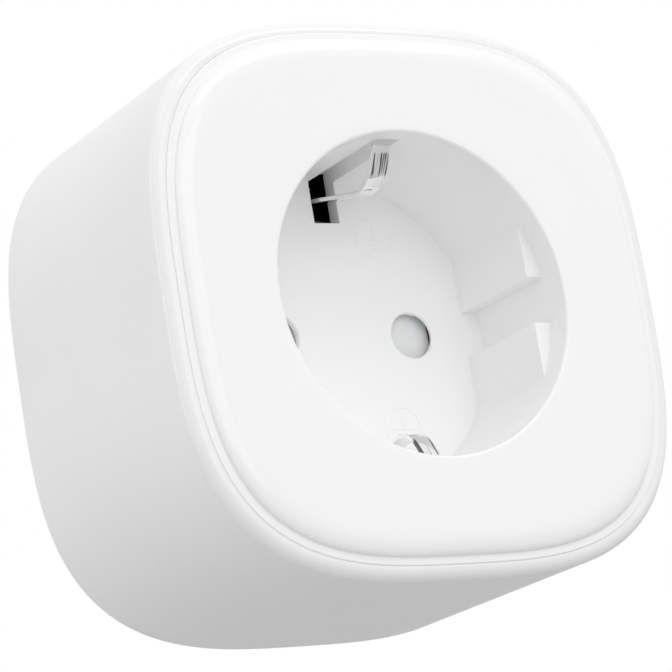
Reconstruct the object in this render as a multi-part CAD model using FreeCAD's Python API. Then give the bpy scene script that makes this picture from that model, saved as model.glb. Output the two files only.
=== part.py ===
import FreeCAD, Part
import os
from math import cos, pi, radians, sin
from FreeCAD import Vector

# Smart plug: a rounded-square housing with an earthed round socket in front and a round plug nose behind.
# Frame, in millimetres: X to the right as seen from the front, Z up, Y from the front face to the pins.
# The origin is the middle of the nose's end face, between the two pins.
# Most sizes along Y are given as a depth behind the front face, which at() turns into a Y value.

# driving dimensions
SQUARENESS = 3.25        # exponent of the rounded-square outlines
BODY_DEPTH = 42.0
NOSE_LENGTH = 17.0
FRONT_HALF = 34.0        # half width of the housing behind its front lip
REAR_HALF = 33.6
LIP_DEPTH = 1.23         # the lip's crest, behind the front face
LIP_ROUND = 1.55
REAR_ROUND = 2.5
COVER_HALF = 32.25
COVER_GAP = 0.15
PILLOW_HALF = 31.36
PILLOW_FOOT = 1.0
PILLOW_EDGE = 2.6        # width of the pillow's soft edge
COVER_BACK = 3.2
CAVITY_HALF = 31.6
LEDGE_HALF = 29.5
REAR_PLATE_HALF = 30.75

RECESS_R = 19.75
RECESS_FLOOR = 18.5
FLOOR_BACK = 20.5
CUP_WALL = 1.5
FLAT_X = 17.27           # side flats of the recess
FLAT_FRONT = 3.65
GROOVE_HALF = 2.8        # guide groove between the side flats
PIN_PITCH_HALF = 9.5
PIN_HOLE_R = 2.85
CHANNEL_HALF = 1.8       # earth clip channels
CHANNEL_ROOF = 21.3
CHANNEL_FRONT = 2.8
CHANNEL_WALL = 1.4
SLOT_INNER = 14.35

PIN_R = 2.4
PIN_LENGTH = 19.0
PIN_ROOT_R = 2.6         # the thicker root that sits in the nose's end wall
NOSE_R = 18.7
NOSE_FLAT_X = 16.8
NOSE_RIB_HALF = 2.55
NOSE_CAVITY_R = 15.0
NOSE_END = 2.5
EARTH_FACE = 16.3        # outside face of the nose's earth contacts
METAL = 0.6              # sheet metal thickness

PIN_HEAD_R = 3.5
PIN_TAIL_R = 1.5
HOLDER_FRONT = 50.6
HOLDER_BACK = 53.4
HOLDER_R = 14.2
HOLDER_SCREW_Z = 9.5
TAIL_FRONT = 46.0
STRAP_DEPTH = (47.0, 47.8)
EARTH_LEG_Z = 18.2

SHUTTER_R = 12.8
SHUTTER_FRONT = 20.0
SHUTTER_BACK = 21.6
SHUTTER_TURN = 34.0      # degrees from closed to open
SHUTTER_WINDOW_R = 2.9
POST_R = 2.0             # the post that the shutter turns on

CLIP_HALF = 1.2          # half width of the socket side's earth clips
CLIP_LINE = 17.9         # height of the clip's straight root
CLIP_BEND = (21.4, 17.9)
CLIP_KNEE = (7.2, 14.6)
CLIP_TIP = (4.3, 19.3)
CLIP_BEND_R = 2.5
CLIP_KNEE_R = 4.3

SCREW_XZ = 21.5
SCREW_R = 1.45
BOARD_FRONT = 36.6
BOARD_BACK = 38.2
BOARD_HALF = 28.8
PLATE_FRONT = 39.5
POST_XZ = 10.6           # two posts that hold the contact carrier
CARRIER_FRONT = 24.6
CARRIER_BACK = 26.0
CHAMBER_BACK = 35.2

BUTTON_DEPTH = 21.0      # the button and its switch, in the middle of the top side
BUTTON_LENGTH = 12.0
BUTTON_WIDTH = 6.0
BUTTON_GAP = 0.25        # between the button and its opening
BUTTON_FLANGE = 0.8
BUTTON_TOP = 34.25
LIGHT_X = 9.6
LIGHT_R = 1.2
RADIO_Z = 25.0
RADIO_TOP = 26.0
SWITCH_BODY_TOP = 29.1
PLUNGER_TOP = 30.0
CHOKE_PLACE = (12.5, 15.5)
RELAY_COIL_X = -3.6
RELAY_X = 9.2
RELAY_TOP = -19.7
RELAY_BOTTOM = -29.9
RELAY_Z = -24.8
FACE_Y = -(BODY_DEPTH + NOSE_LENGTH)
NOSE_END_DEPTH = BODY_DEPTH + NOSE_LENGTH
PIN_HEAD = (HOLDER_BACK, NOSE_END_DEPTH - NOSE_END)
CLIP_ROOT = CARRIER_BACK - 0.05
TOP_WALL = (28, 40)      # heights between which a cutter passes through the top side
ALONG_Y = Vector(0, 1, 0)


def at(depth):
    return FACE_Y + depth


def box(x, depth, z):
    """A box from three (low, high) ranges; the middle one is a depth range."""
    low = Vector(min(x), at(min(depth)), min(z))
    return Part.makeBox(max(x) - min(x), max(depth) - min(depth), max(z) - min(z), low)


def rod(radius, depth, x=0.0, z=0.0):
    """A round rod along Y."""
    return Part.makeCylinder(radius, max(depth) - min(depth), Vector(x, at(min(depth)), z), ALONG_Y)


def upright(radius, z, x=0.0, depth=0.0):
    """A round rod along Z."""
    return Part.makeCylinder(radius, max(z) - min(z), Vector(x, at(depth), min(z)), Vector(0, 0, 1))


def level(radius, x, depth, z):
    """A round rod along X."""
    return Part.makeCylinder(radius, max(x) - min(x), Vector(min(x), at(depth), z), Vector(1, 0, 0))


def ring(outer, inner, depth, x=0.0, z=0.0):
    return rod(outer, depth, x, z).cut(rod(inner, depth, x, z))


def squircle(half, depth):
    """A closed rounded-square wire: four equal quarters of a superellipse."""
    steps = 12
    quarters = []
    for quarter in range(4):
        points = []
        for i in range(steps + 1):
            turn = pi / 2 * (quarter + i / steps)
            c = cos(turn)
            s = sin(turn)
            reach = half * (abs(c) ** SQUARENESS + abs(s) ** SQUARENESS) ** (-1 / SQUARENESS)
            points.append(Vector(reach * c, at(depth), reach * s))
        start = Vector(-sin(pi / 2 * quarter), 0, cos(pi / 2 * quarter))
        end = Vector(-cos(pi / 2 * quarter), 0, -sin(pi / 2 * quarter))
        curve = Part.BSplineCurve()
        curve.interpolate(Points=points, InitialTangent=start, FinalTangent=end)
        quarters.append(curve.toShape())
    return Part.Wire(quarters)


def block(front_half, back_half, depth):
    """A rounded-square block, tapering evenly over its depth."""
    return Part.makeLoft([squircle(front_half, depth[0]), squircle(back_half, depth[1])], True, True)


def taper_half(depth):
    """The housing's half width at a depth, along its slight moulding draft."""
    return FRONT_HALF + (REAR_HALF - FRONT_HALF) * depth / BODY_DEPTH


def rim(shape, depth):
    """The outermost edge loop of a shape at a depth."""
    y = at(depth)
    loops = []
    for face in shape.Faces:
        for wire in face.Wires:
            if abs(wire.BoundBox.YMin - y) < 1e-4 and abs(wire.BoundBox.YMax - y) < 1e-4:
                loops.append(wire)
    return max(loops, key=lambda wire: wire.BoundBox.XLength).Edges


def stadium(length, width, z, x=0.0, depth=BUTTON_DEPTH):
    """An upright column with a round-ended outline, longest along X."""
    reach = (length - width) / 2
    column = box((x - reach, x + reach), (depth - width / 2, depth + width / 2), z)
    for side in (-1, 1):
        column = column.fuse(upright(width / 2, z, x + side * reach, depth))
    return column.removeSplitter()


def mirrored(shape):
    """The same shape on the lower half of the plug."""
    return shape.mirror(Vector(0, 0, 0), Vector(0, 0, 1))


def joined(shapes):
    whole = shapes[0].multiFuse(shapes[1:]) if len(shapes) > 1 else shapes[0]
    return whole.removeSplitter()


def without(shape, cutters):
    for cutter in cutters:
        shape = shape.cut(cutter)
    return shape


def corner_places():
    """The four places of the housing screws, across and up."""
    return [(SCREW_XZ, SCREW_XZ), (-SCREW_XZ, SCREW_XZ), (-SCREW_XZ, -SCREW_XZ), (SCREW_XZ, -SCREW_XZ)]


# housing

def main_shell():
    shell = block(taper_half(LIP_DEPTH), REAR_HALF, (LIP_DEPTH, BODY_DEPTH))
    shell = shell.makeFillet(REAR_ROUND, rim(shell, BODY_DEPTH))
    shell = shell.makeFillet(LIP_ROUND, rim(shell, LIP_DEPTH))
    seat = COVER_HALF + COVER_GAP
    rear_opening = REAR_PLATE_HALF + COVER_GAP
    cutters = [
        block(seat, seat, (0, COVER_BACK + 0.02)),
        block(CAVITY_HALF, CAVITY_HALF, (COVER_BACK, PLATE_FRONT - 1.5)),
        block(LEDGE_HALF, LEDGE_HALF, (PLATE_FRONT - 1.6, PLATE_FRONT + 0.1)),
        block(rear_opening, rear_opening, (PLATE_FRONT, BODY_DEPTH + 1)),
        stadium(BUTTON_LENGTH + 2 * BUTTON_GAP, BUTTON_WIDTH + 2 * BUTTON_GAP, TOP_WALL),
        upright(LIGHT_R + 0.05, TOP_WALL, LIGHT_X, BUTTON_DEPTH),
    ]
    return without(shell, cutters)


def pillow():
    """The raised face: a stack of outlines along a quarter of an ellipse gives its soft edge."""
    steps = 5
    outlines = []
    for i in range(steps + 1):
        turn = pi / 2 * i / steps
        half = PILLOW_HALF - PILLOW_EDGE * (1 - cos(turn))
        outlines.append(squircle(half, PILLOW_FOOT * (1 - sin(turn))))
    return Part.makeLoft(outlines, True, False)


def recess_space():
    """The space that a plug goes into, with its guide grooves and clip channels."""
    space = rod(RECESS_R, (-1, RECESS_FLOOR))
    for side in (-1, 1):
        beside = box((side * FLAT_X, side * (RECESS_R + 1)), (FLAT_FRONT, RECESS_FLOOR + 1), (-12, 12))
        groove = box((side * FLAT_X, side * (RECESS_R + 1)), (FLAT_FRONT, RECESS_FLOOR + 1),
                     (-GROOVE_HALF, GROOVE_HALF))
        space = space.cut(beside.cut(groove))
        channel = box((-CHANNEL_HALF, CHANNEL_HALF), (CHANNEL_FRONT, RECESS_FLOOR),
                      (side * 18, side * CHANNEL_ROOF))
        slot = box((-CHANNEL_HALF, CHANNEL_HALF), (CHANNEL_FRONT, FLOOR_BACK + 1),
                   (side * SLOT_INNER, side * CHANNEL_ROOF))
        slot = slot.cut(box((-3, 3), (0, RECESS_FLOOR - 1), (side * 10, side * 18)))
        space = space.fuse(channel).fuse(slot)
    return space


def front_cover():
    band = block(COVER_HALF, COVER_HALF, (LIP_DEPTH - 0.08, COVER_BACK))
    collar = block(PILLOW_HALF, PILLOW_HALF, (PILLOW_FOOT, COVER_BACK))
    cup = rod(RECESS_R + CUP_WALL, (COVER_BACK - 1, FLOOR_BACK))
    channel_box = box((-CHANNEL_HALF - CHANNEL_WALL, CHANNEL_HALF + CHANNEL_WALL),
                      (COVER_BACK - 1, FLOOR_BACK),
                      (-CHANNEL_ROOF - 1.0, CHANNEL_ROOF + 1.0))
    cover = joined([band, collar, pillow(), cup, channel_box])
    cover = cover.cut(recess_space())
    cover = cover.makeFillet(0.4, mouth_edge(cover))
    relief = rod(SHUTTER_R + 0.4, (FLOOR_BACK - 1.2, FLOOR_BACK))
    wings = box((-16, 16), (FLOOR_BACK - 1.2, FLOOR_BACK), (-4, 4))
    holes = []
    for sign in (-1, 1):
        holes.append(rod(PIN_HOLE_R, (RECESS_FLOOR - 1, FLOOR_BACK + 1), sign * PIN_PITCH_HALF))
    cover = without(cover, [relief, wings] + holes)
    posts = [rod(POST_R, (FLOOR_BACK - 1.2, CARRIER_FRONT))]
    for sign in (-1, 1):
        posts.append(rod(1.7, (FLOOR_BACK - 0.1, CARRIER_FRONT), sign * POST_XZ, sign * POST_XZ))
    bosses = [rod(3.0, (COVER_BACK - 0.2, BOARD_FRONT), x, z) for x, z in corner_places()]
    cover = joined([cover] + posts + bosses)
    pilots = [rod(SCREW_R, (23.5, BOARD_FRONT + 1), x, z) for x, z in corner_places()]
    for sign in (-1, 1):
        pilots.append(rod(0.9, (21.4, CARRIER_FRONT + 1), sign * POST_XZ, sign * POST_XZ))
    return without(cover, pilots)


def mouth_edge(shape):
    """The round edge where the recess meets the front face."""
    found = []
    for edge in shape.Edges:
        flat = abs(edge.BoundBox.YMin - at(0)) < 1e-4 and abs(edge.BoundBox.YMax - at(0)) < 1e-4
        if flat and abs(edge.BoundBox.XLength - 2 * RECESS_R) < 0.01:
            found.append(edge)
    return found


def rear_cover():
    plate = block(REAR_PLATE_HALF, REAR_PLATE_HALF, (PLATE_FRONT, BODY_DEPTH))
    core_span = (BODY_DEPTH - 0.5, NOSE_END_DEPTH)
    nose = rod(NOSE_R, core_span)
    for side in (-1, 1):
        beside = box((side * NOSE_FLAT_X, side * 20), (BODY_DEPTH, NOSE_END_DEPTH + 1), (-12, 12))
        rib = box((side * NOSE_FLAT_X, side * 20), (BODY_DEPTH - 1, NOSE_END_DEPTH + 2),
                  (-NOSE_RIB_HALF, NOSE_RIB_HALF))
        nose = nose.cut(beside.cut(rib))
    nose = nose.makeChamfer(0.8, end_edges(nose))
    bosses = [rod(3.0, (BOARD_BACK, PLATE_FRONT + 0.1), x, z) for x, z in corner_places()]
    cover = joined([plate, nose] + bosses)
    cavity = rod(NOSE_CAVITY_R, (PLATE_FRONT - 1, NOSE_END_DEPTH - NOSE_END))
    cavity = cavity.cut(box((-4.5, 4.5), (PLATE_FRONT - 2, NOSE_END_DEPTH), (14.2, 20)))
    cavity = cavity.cut(box((-4.5, 4.5), (PLATE_FRONT - 2, NOSE_END_DEPTH), (-20, -14.2)))
    cutters = [cavity]
    for side in (-1, 1):
        floor = side * (EARTH_FACE - METAL)
        cutters.append(box((-2.6, 2.6), (BODY_DEPTH, NOSE_END_DEPTH - 1.2), (floor, side * 20)))
        cutters.append(box((-2.1, 2.1), (PLATE_FRONT - 1, BODY_DEPTH + 1), (floor, side * (EARTH_FACE + 0.1))))
        cutters.append(rod(PIN_ROOT_R, (NOSE_END_DEPTH - NOSE_END - 1, NOSE_END_DEPTH + 1),
                           side * PIN_PITCH_HALF))
    for x, z in corner_places():
        cutters.append(rod(1.7, (BOARD_BACK - 1, BODY_DEPTH + 1), x, z))
        cutters.append(rod(2.9, (40.1, BODY_DEPTH + 1), x, z))
    cover = without(cover, cutters)
    stubs = []
    for sign in (-1, 1):
        stub = rod(1.9, (HOLDER_BACK, NOSE_END_DEPTH - NOSE_END + 0.1), 0, sign * HOLDER_SCREW_Z)
        stubs.append(stub)
    cover = joined([cover] + stubs)
    pilots = [rod(0.9, (HOLDER_BACK - 1, NOSE_END_DEPTH - NOSE_END - 0.4), 0, sign * HOLDER_SCREW_Z)
              for sign in (-1, 1)]
    return without(cover, pilots)


def end_edges(shape):
    """The outline of the nose's end face."""
    y = at(NOSE_END_DEPTH)
    return [e for e in shape.Edges if abs(e.BoundBox.YMin - y) < 1e-4 and abs(e.BoundBox.YMax - y) < 1e-4]


def cross_cut(radius, depth, x, z):
    """A cross-shaped driver recess."""
    arms = box((x - radius, x + radius), depth, (z - 0.35, z + 0.35))
    return arms.fuse(box((x - 0.35, x + 0.35), depth, (z - radius, z + radius)))


def housing_screws():
    screws = []
    for x, z in corner_places():
        head = rod(2.6, (40.1, 41.7), x, z)
        head = head.makeFillet(0.5, [e for e in head.Edges if e.BoundBox.YMin > at(41.6)])
        head = head.cut(cross_cut(1.5, (40.9, 42), x, z))
        screws.append(head.fuse(rod(SCREW_R, (24.0, 40.1), x, z)).removeSplitter())
    return Part.makeCompound(screws)


# plug side

def plug_pin(side):
    x = side * PIN_PITCH_HALF
    tip = NOSE_END_DEPTH + PIN_LENGTH
    shaft = rod(PIN_R, (NOSE_END_DEPTH - 0.5, tip), x)
    shaft = shaft.makeFillet(1.8, [e for e in shaft.Edges if e.BoundBox.YMin > at(tip - 0.1)])
    root = rod(PIN_ROOT_R, (HOLDER_BACK, NOSE_END_DEPTH), x)
    tail = rod(PIN_TAIL_R, (TAIL_FRONT, HOLDER_BACK + 0.1), x)
    return joined([shaft, root, rod(PIN_HEAD_R, PIN_HEAD, x), tail])


def pin_holder():
    holder = rod(HOLDER_R, (HOLDER_FRONT, HOLDER_BACK))
    through = (HOLDER_FRONT - 1, HOLDER_BACK + 1)
    cutters = []
    for sign in (-1, 1):
        cutters.append(box((-5, 5), through, (sign * 13.6, sign * 16)))
        cutters.append(rod(PIN_TAIL_R, through, sign * PIN_PITCH_HALF))
        cutters.append(rod(1.0, through, 0, sign * HOLDER_SCREW_Z))
    return without(holder, cutters)


def pin_holder_screws():
    screws = []
    for sign in (-1, 1):
        z = sign * HOLDER_SCREW_Z
        head = rod(1.8, (HOLDER_FRONT - 1.3, HOLDER_FRONT), 0, z)
        head = head.cut(cross_cut(1.1, (HOLDER_FRONT - 1.4, HOLDER_FRONT - 0.8), 0, z))
        shank = rod(0.9, (HOLDER_FRONT, NOSE_END_DEPTH - NOSE_END - 0.6), 0, z)
        screws.append(head.fuse(shank).removeSplitter())
    return Part.makeCompound(screws)


def rear_earth_contact():
    """A strip in the nose's side channel, running through the rear plate to a tab behind the board."""
    inner = EARTH_FACE - METAL
    strip = box((-2.0, 2.0), (38.6, NOSE_END_DEPTH - 1.4), (inner, EARTH_FACE))
    tab = box((-2.0, 2.0), (38.6, 38.6 + METAL), (inner, EARTH_LEG_Z))
    return joined([strip, tab])


# socket side

def safety_shutter():
    """A disc that turns on the floor's post until its windows line up with the pin holes."""
    through = (SHUTTER_FRONT - 1, SHUTTER_BACK + 1)
    disc = ring(SHUTTER_R, POST_R + 0.06, (SHUTTER_FRONT, SHUTTER_BACK))
    for start in (0, 180):
        turn = radians(start - SHUTTER_TURN)
        x = PIN_PITCH_HALF * cos(turn)
        z = PIN_PITCH_HALF * sin(turn)
        disc = disc.cut(rod(SHUTTER_WINDOW_R, through, x, z))
    peg = rod(0.6, (SHUTTER_BACK - 0.1, SHUTTER_BACK + 1.6), 0, 6.0)
    return joined([disc, peg])


def shutter_spring():
    """Three turns of wire around the post, with a leg to the shutter's peg and one to the carrier."""
    wire = 0.2
    radius = 2.6
    pitch = 0.55
    turns = 3.5
    helix = Part.makeHelix(pitch, pitch * turns, radius)
    profile = Part.Wire(Part.makeCircle(wire, Vector(radius, 0, 0), Vector(0, 1, 0)))
    coil = Part.Wire(helix).makePipeShell([profile], True, True)
    coil.rotate(Vector(0, 0, 0), Vector(1, 0, 0), -90)
    coil.translate(Vector(0, at(22.0), 0))
    to_peg = Part.makeCylinder(wire, 7.2, Vector(radius, at(22.0), -0.3), Vector(-0.27, 0, 1))
    to_stop = Part.makeCylinder(wire, 6.0, Vector(-radius, at(22.0 + pitch * turns), -0.3), Vector(0, 0, 1))
    return joined([coil, to_peg, to_stop])


def contact_carrier():
    """The plate behind the shutter, with a chamber for each socket contact."""
    plate = rod(16.8, (CARRIER_FRONT, CARRIER_BACK))
    chambers = []
    cutters = [rod(2.0, (CARRIER_FRONT - 1, CARRIER_FRONT + 0.6))]
    for side in (-1, 1):
        chambers.append(box((side * 5.0, side * 14.0), (CARRIER_BACK - 0.1, CHAMBER_BACK), (-4.5, 4.5)))
        cutters.append(box((side * 6.0, side * 13.0), (CARRIER_BACK, CHAMBER_BACK + 1), (-3.5, 3.5)))
        cutters.append(rod(3.0, (CARRIER_FRONT - 1, CARRIER_BACK + 1), side * PIN_PITCH_HALF))
        cutters.append(rod(1.0, (CARRIER_FRONT - 1, CARRIER_BACK + 1), side * POST_XZ, side * POST_XZ))
    return without(joined([plate] + chambers), cutters)


def carrier_screws():
    screws = []
    for sign in (-1, 1):
        x = sign * POST_XZ
        head = rod(1.8, (CARRIER_BACK, CARRIER_BACK + 1.2), x, x)
        head = head.cut(cross_cut(1.1, (CARRIER_BACK + 0.6, CARRIER_BACK + 2), x, x))
        screws.append(head.fuse(rod(0.9, (21.6, CARRIER_BACK), x, x)).removeSplitter())
    return Part.makeCompound(screws)


def socket_contact(side):
    """A split sleeve that grips a pin, with a solder foot reaching through the board."""
    x = side * PIN_PITCH_HALF
    sleeve = ring(2.8, 2.25, (26.6, 36.05), x)
    flare = Part.makeCone(3.2, 2.8, 1.0, Vector(x, at(26.6), 0), ALONG_Y)
    flare = flare.cut(Part.makeCone(2.7, 2.25, 1.0, Vector(x, at(26.6), 0), ALONG_Y))
    tab = box((side * 11.9, side * 17.5), (CHAMBER_BACK + 0.05, 36.05), (-1.5, 1.5))
    foot = box((side * 16.7, side * 17.5), (CHAMBER_BACK + 0.05, 38.8), (-1.5, 1.5))
    sleeve = joined([sleeve, flare, tab, foot])
    slit = box((side * 6.0, side * 8.0), (26, 33.5), (-0.35, 0.35))
    return sleeve.cut(slit)


def contact_clamp(side):
    """A steel C-ring that presses the sleeve onto the pin."""
    x = side * PIN_PITCH_HALF
    clamp = ring(3.25, 2.8, (29.2, 32.0), x)
    return clamp.cut(box((side * 5.0, side * 8.0), (29, 33), (-0.9, 0.9)))


def earth_clip():
    """A sprung strip: a straight root, a long slope towards the socket's axis, a rounded knee and a tip."""
    line = [(CLIP_ROOT, CLIP_LINE), CLIP_BEND, CLIP_KNEE, CLIP_TIP]
    path = rounded_path([Vector(0, at(depth), z) for depth, z in line], (CLIP_BEND_R, CLIP_KNEE_R))
    low = CLIP_LINE - METAL / 2
    high = CLIP_LINE + METAL / 2
    corners = [(-CLIP_HALF, low), (CLIP_HALF, low), (CLIP_HALF, high), (-CLIP_HALF, high), (-CLIP_HALF, low)]
    profile = Part.makePolygon([Vector(x, at(CLIP_ROOT), z) for x, z in corners])
    strip = path.makePipeShell([profile], True, False)
    curl = level(METAL / 2, (-CLIP_HALF, CLIP_HALF), CLIP_TIP[0], CLIP_TIP[1])
    return joined([strip, curl])


def rounded_path(points, radii):
    """Straight runs joined by arcs of the given radii."""
    pieces = []
    start = points[0]
    for i in range(1, len(points) - 1):
        corner = points[i]
        back = (points[i - 1] - corner).normalize()
        ahead = (points[i + 1] - corner).normalize()
        half_angle = back.getAngle(ahead) / 2
        reach = radii[i - 1] * cos(half_angle) / sin(half_angle)
        entry = corner + back * reach
        leave = corner + ahead * reach
        middle_way = (back + ahead).normalize()
        middle = corner + middle_way * (radii[i - 1] / sin(half_angle) - radii[i - 1])
        pieces.append(Part.makeLine(start, entry))
        pieces.append(Part.Arc(entry, middle, leave).toShape())
        start = leave
    pieces.append(Part.makeLine(start, points[-1]))
    return Part.Wire(pieces)


def earth_bridge():
    """A U-shaped strap that links both clips and reaches through the board to the nose's contacts."""
    reach = EARTH_LEG_Z + METAL
    web = box((-2.5, 2.5), (CARRIER_BACK, CARRIER_BACK + 0.8), (-reach, reach))
    legs = [box((-2.0, 2.0), (CARRIER_BACK, 39.2), (side * EARTH_LEG_Z, side * reach)) for side in (-1, 1)]
    return joined([web] + legs)


def pin_strap(side):
    """A strap from a plug pin's tail, round the board's middle, to the board."""
    x = side * PIN_PITCH_HALF
    z = side * 8.2
    eye = box((x - 2, x + 2), STRAP_DEPTH, (side * -2.4, side * 9.0))
    leg = box((x - 2, x + 2), (35.8, STRAP_DEPTH[1]), (z, side * 9.0))
    strap = joined([eye, leg])
    return strap.cut(rod(1.5, (STRAP_DEPTH[0] - 1, STRAP_DEPTH[1] + 1), x))


def load_busbar():
    """A strap on the board's back from the relay's frame to the left socket contact."""
    upright_part = box((-16.7, -14.7), (BOARD_BACK, BOARD_BACK + 0.6), (-24.0, 1.5))
    level_part = box((-16.7, 1.0), (BOARD_BACK, BOARD_BACK + 0.6), (-24.0, -22.0))
    return joined([upright_part, level_part])


# electronics on the main board

def main_board():
    board = block(BOARD_HALF, BOARD_HALF, (BOARD_FRONT, BOARD_BACK))
    through = (BOARD_FRONT - 1, BOARD_BACK + 1)
    cutters = [rod(1.7, through, x, z) for x, z in corner_places()]
    for side in (-1, 1):
        cutters.append(rod(2.9, through, side * PIN_PITCH_HALF))
        cutters.append(box((side * 16.6, side * 17.6), through, (-1.6, 1.6)))
        cutters.append(box((-2.1, 2.1), through, (side * 18.1, side * 18.9)))
        cutters.append(box((side * 7.4, side * 11.6), through, (side * 8.1, side * 9.1)))
    cutters.append(box((0.9, 2.0), through, (RELAY_Z - 1.6, RELAY_Z + 1.6)))
    cutters.append(box((7.0, 8.0), through, (RELAY_Z - 1.6, RELAY_Z + 1.6)))
    return without(board, cutters)


def relay_base():
    base = box((-RELAY_X, RELAY_X), (35.1, BOARD_FRONT), (RELAY_BOTTOM, RELAY_TOP))
    for x in (0.95, 7.05):
        base = base.cut(box((x, x + 0.9), (34, BOARD_FRONT + 1), (RELAY_Z - 1.5, RELAY_Z + 1.5)))
    return base


def relay_case():
    outside = box((-RELAY_X, RELAY_X), (20.9, 35.1), (RELAY_BOTTOM, RELAY_TOP))
    soft = [e for e in outside.Edges if e.BoundBox.YLength > 5 or e.BoundBox.YMax < at(21)]
    outside = outside.makeFillet(0.6, soft)
    inside = box((-RELAY_X + 0.7, RELAY_X - 0.7), (21.6, 36), (RELAY_BOTTOM + 0.7, RELAY_TOP - 0.7))
    return outside.cut(inside)


def relay_bobbin():
    flanges = []
    for depth in ((24.0, 24.9), (33.9, 34.8)):
        flanges.append(box((RELAY_COIL_X - 4.1, RELAY_COIL_X + 4.1), depth, (RELAY_Z - 4.1, RELAY_Z + 4.1)))
    tube = rod(2.0, (24.0, 34.8), RELAY_COIL_X, RELAY_Z)
    return joined(flanges + [tube]).cut(rod(1.4, (23, 36), RELAY_COIL_X, RELAY_Z))


def relay_winding():
    return ring(3.5, 2.0, (24.9, 33.9), RELAY_COIL_X, RELAY_Z)


def relay_frame():
    """The iron core, its heel and the upright yoke, with a foot through the board."""
    core = rod(1.4, (23.6, 34.8), RELAY_COIL_X, RELAY_Z)
    pole = rod(2.6, (23.35, 23.95), RELAY_COIL_X, RELAY_Z)
    heel = box((RELAY_COIL_X - 3, 1.8), (34.8, 35.1), (RELAY_Z - 3, RELAY_Z + 3))
    yoke = box((1.0, 1.8), (22.95, 35.1), (RELAY_Z - 3, RELAY_Z + 3))
    foot = box((1.0, 1.8), (35.0, 38.8), (RELAY_Z - 1.4, RELAY_Z + 1.4))
    return joined([core, pole, heel, yoke, foot])


def relay_armature():
    """The armature plate over the pole and yoke, with the moving contact on its long leaf."""
    plate = box((RELAY_COIL_X - 2.8, 2.0), (22.3, 22.9), (RELAY_Z - 2.8, RELAY_Z + 2.8))
    leaf = box((1.6, 6.9), (22.65, 22.9), (RELAY_Z - 1.6, RELAY_Z + 1.6))
    tip = rod(1.0, (22.45, 23.1), 5.8, RELAY_Z)
    return joined([plate, leaf, tip])


def relay_fixed_contact():
    post = box((7.1, 7.9), (21.65, 38.8), (RELAY_Z - 1.4, RELAY_Z + 1.4))
    arm = box((4.7, 7.9), (21.65, 22.0), (RELAY_Z - 1.4, RELAY_Z + 1.4))
    button = rod(1.0, (22.0, 22.15), 5.8, RELAY_Z)
    return joined([post, arm, button])


def leads(places, depth, radius=0.35):
    return [rod(radius, depth, x, z) for x, z in places]


def varistor():
    disc = level(5.0, (22.4, 26.4), 30.4, 7.5)
    disc = disc.makeFillet(1.2, disc.Edges)
    return joined([disc] + leads([(23.4, 5.0), (25.4, 10.0)], (30.4, BOARD_FRONT)))


def interference_capacitor():
    body = box((-28.0, -21.8), (25.0, 36.2), (-9.0, 4.0))
    body = body.makeFillet(0.5, body.Edges)
    return joined([body] + leads([(-24.9, -7.0), (-24.9, 2.0)], (36.0, BOARD_FRONT)))


def smoothing_capacitors():
    cans = []
    for x, z in ((-20.0, 13.0), (-11.5, 16.0)):
        can = rod(3.9, (27.0, BOARD_FRONT), x, z)
        can = can.makeFillet(0.5, can.Edges)
        groove = ring(4.5, 3.65, (34.2, 35.0), x, z)
        cans.append(can.cut(groove))
    return Part.makeCompound(cans)


def filter_choke_core():
    x, z = CHOKE_PLACE
    return joined([rod(3.9, (28.0, 29.2), x, z), rod(1.9, (28.0, BOARD_FRONT), x, z),
                   rod(3.9, (35.4, BOARD_FRONT), x, z)])


def filter_choke_winding():
    x, z = CHOKE_PLACE
    return ring(3.4, 1.9, (29.2, 35.4), x, z)


def fusible_resistor():
    body = upright(1.8, (-12.5, -5.5), 21.5, 33.8)
    body = body.makeFillet(0.6, body.Edges)
    wire = upright(0.35, (-15.0, -3.0), 21.5, 33.8)
    return joined([body, wire] + leads([(21.5, -14.7), (21.5, -3.3)], (33.8, BOARD_FRONT)))


def chip(x, z, length, width, height, legs):
    """A small moulded chip lying on the board with a row of legs on each long side."""
    body = box((x - length / 2, x + length / 2), (BOARD_FRONT - height, BOARD_FRONT - 0.15),
               (z - width / 2, z + width / 2))
    body = body.makeFillet(0.15, [e for e in body.Edges if e.BoundBox.YMax < at(BOARD_FRONT - height) + 0.01])
    pieces = [body]
    for i in range(legs):
        place = x + (i - (legs - 1) / 2) * (length - 1.0) / max(legs - 1, 1)
        pieces.append(box((place - 0.2, place + 0.2), (BOARD_FRONT - 0.35, BOARD_FRONT),
                          (z - width / 2 - 0.9, z + width / 2 + 0.9)))
    return joined(pieces)


def bridge_rectifier():
    return chip(20.5, 13.8, 5.0, 4.0, 2.3, 2)


def power_chip():
    return chip(-17.0, -12.5, 5.0, 4.0, 1.7, 4)


def metering_chip():
    return chip(16.0, -13.5, 6.2, 4.0, 1.7, 6)


def current_shunt():
    """A bent strip that stands on the board like a low bridge."""
    outer = box((11.0, 17.5), (BOARD_FRONT - 2.0, BOARD_FRONT), (-21.5, -18.5))
    return outer.cut(box((11.8, 16.7), (BOARD_FRONT - 1.2, BOARD_FRONT + 1), (-22, -18)))


def small_parts():
    """Surface-mounted resistors and capacitors in two short rows."""
    pieces = []
    for i in range(6):
        x = -14.0 + i * 2.6
        pieces.append(box((x, x + 1.0), (BOARD_FRONT - 0.55, BOARD_FRONT), (-14.6, -13.0)))
    for i in range(4):
        z = 11.5 + i * 2.4
        pieces.append(box((3.6, 5.2), (BOARD_FRONT - 0.55, BOARD_FRONT), (z, z + 0.9)))
    return Part.makeCompound(pieces)


# radio board, switch and button

def radio_board():
    return box((-14.0, 14.0), (9.0, BOARD_FRONT), (RADIO_Z, RADIO_TOP))


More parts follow.
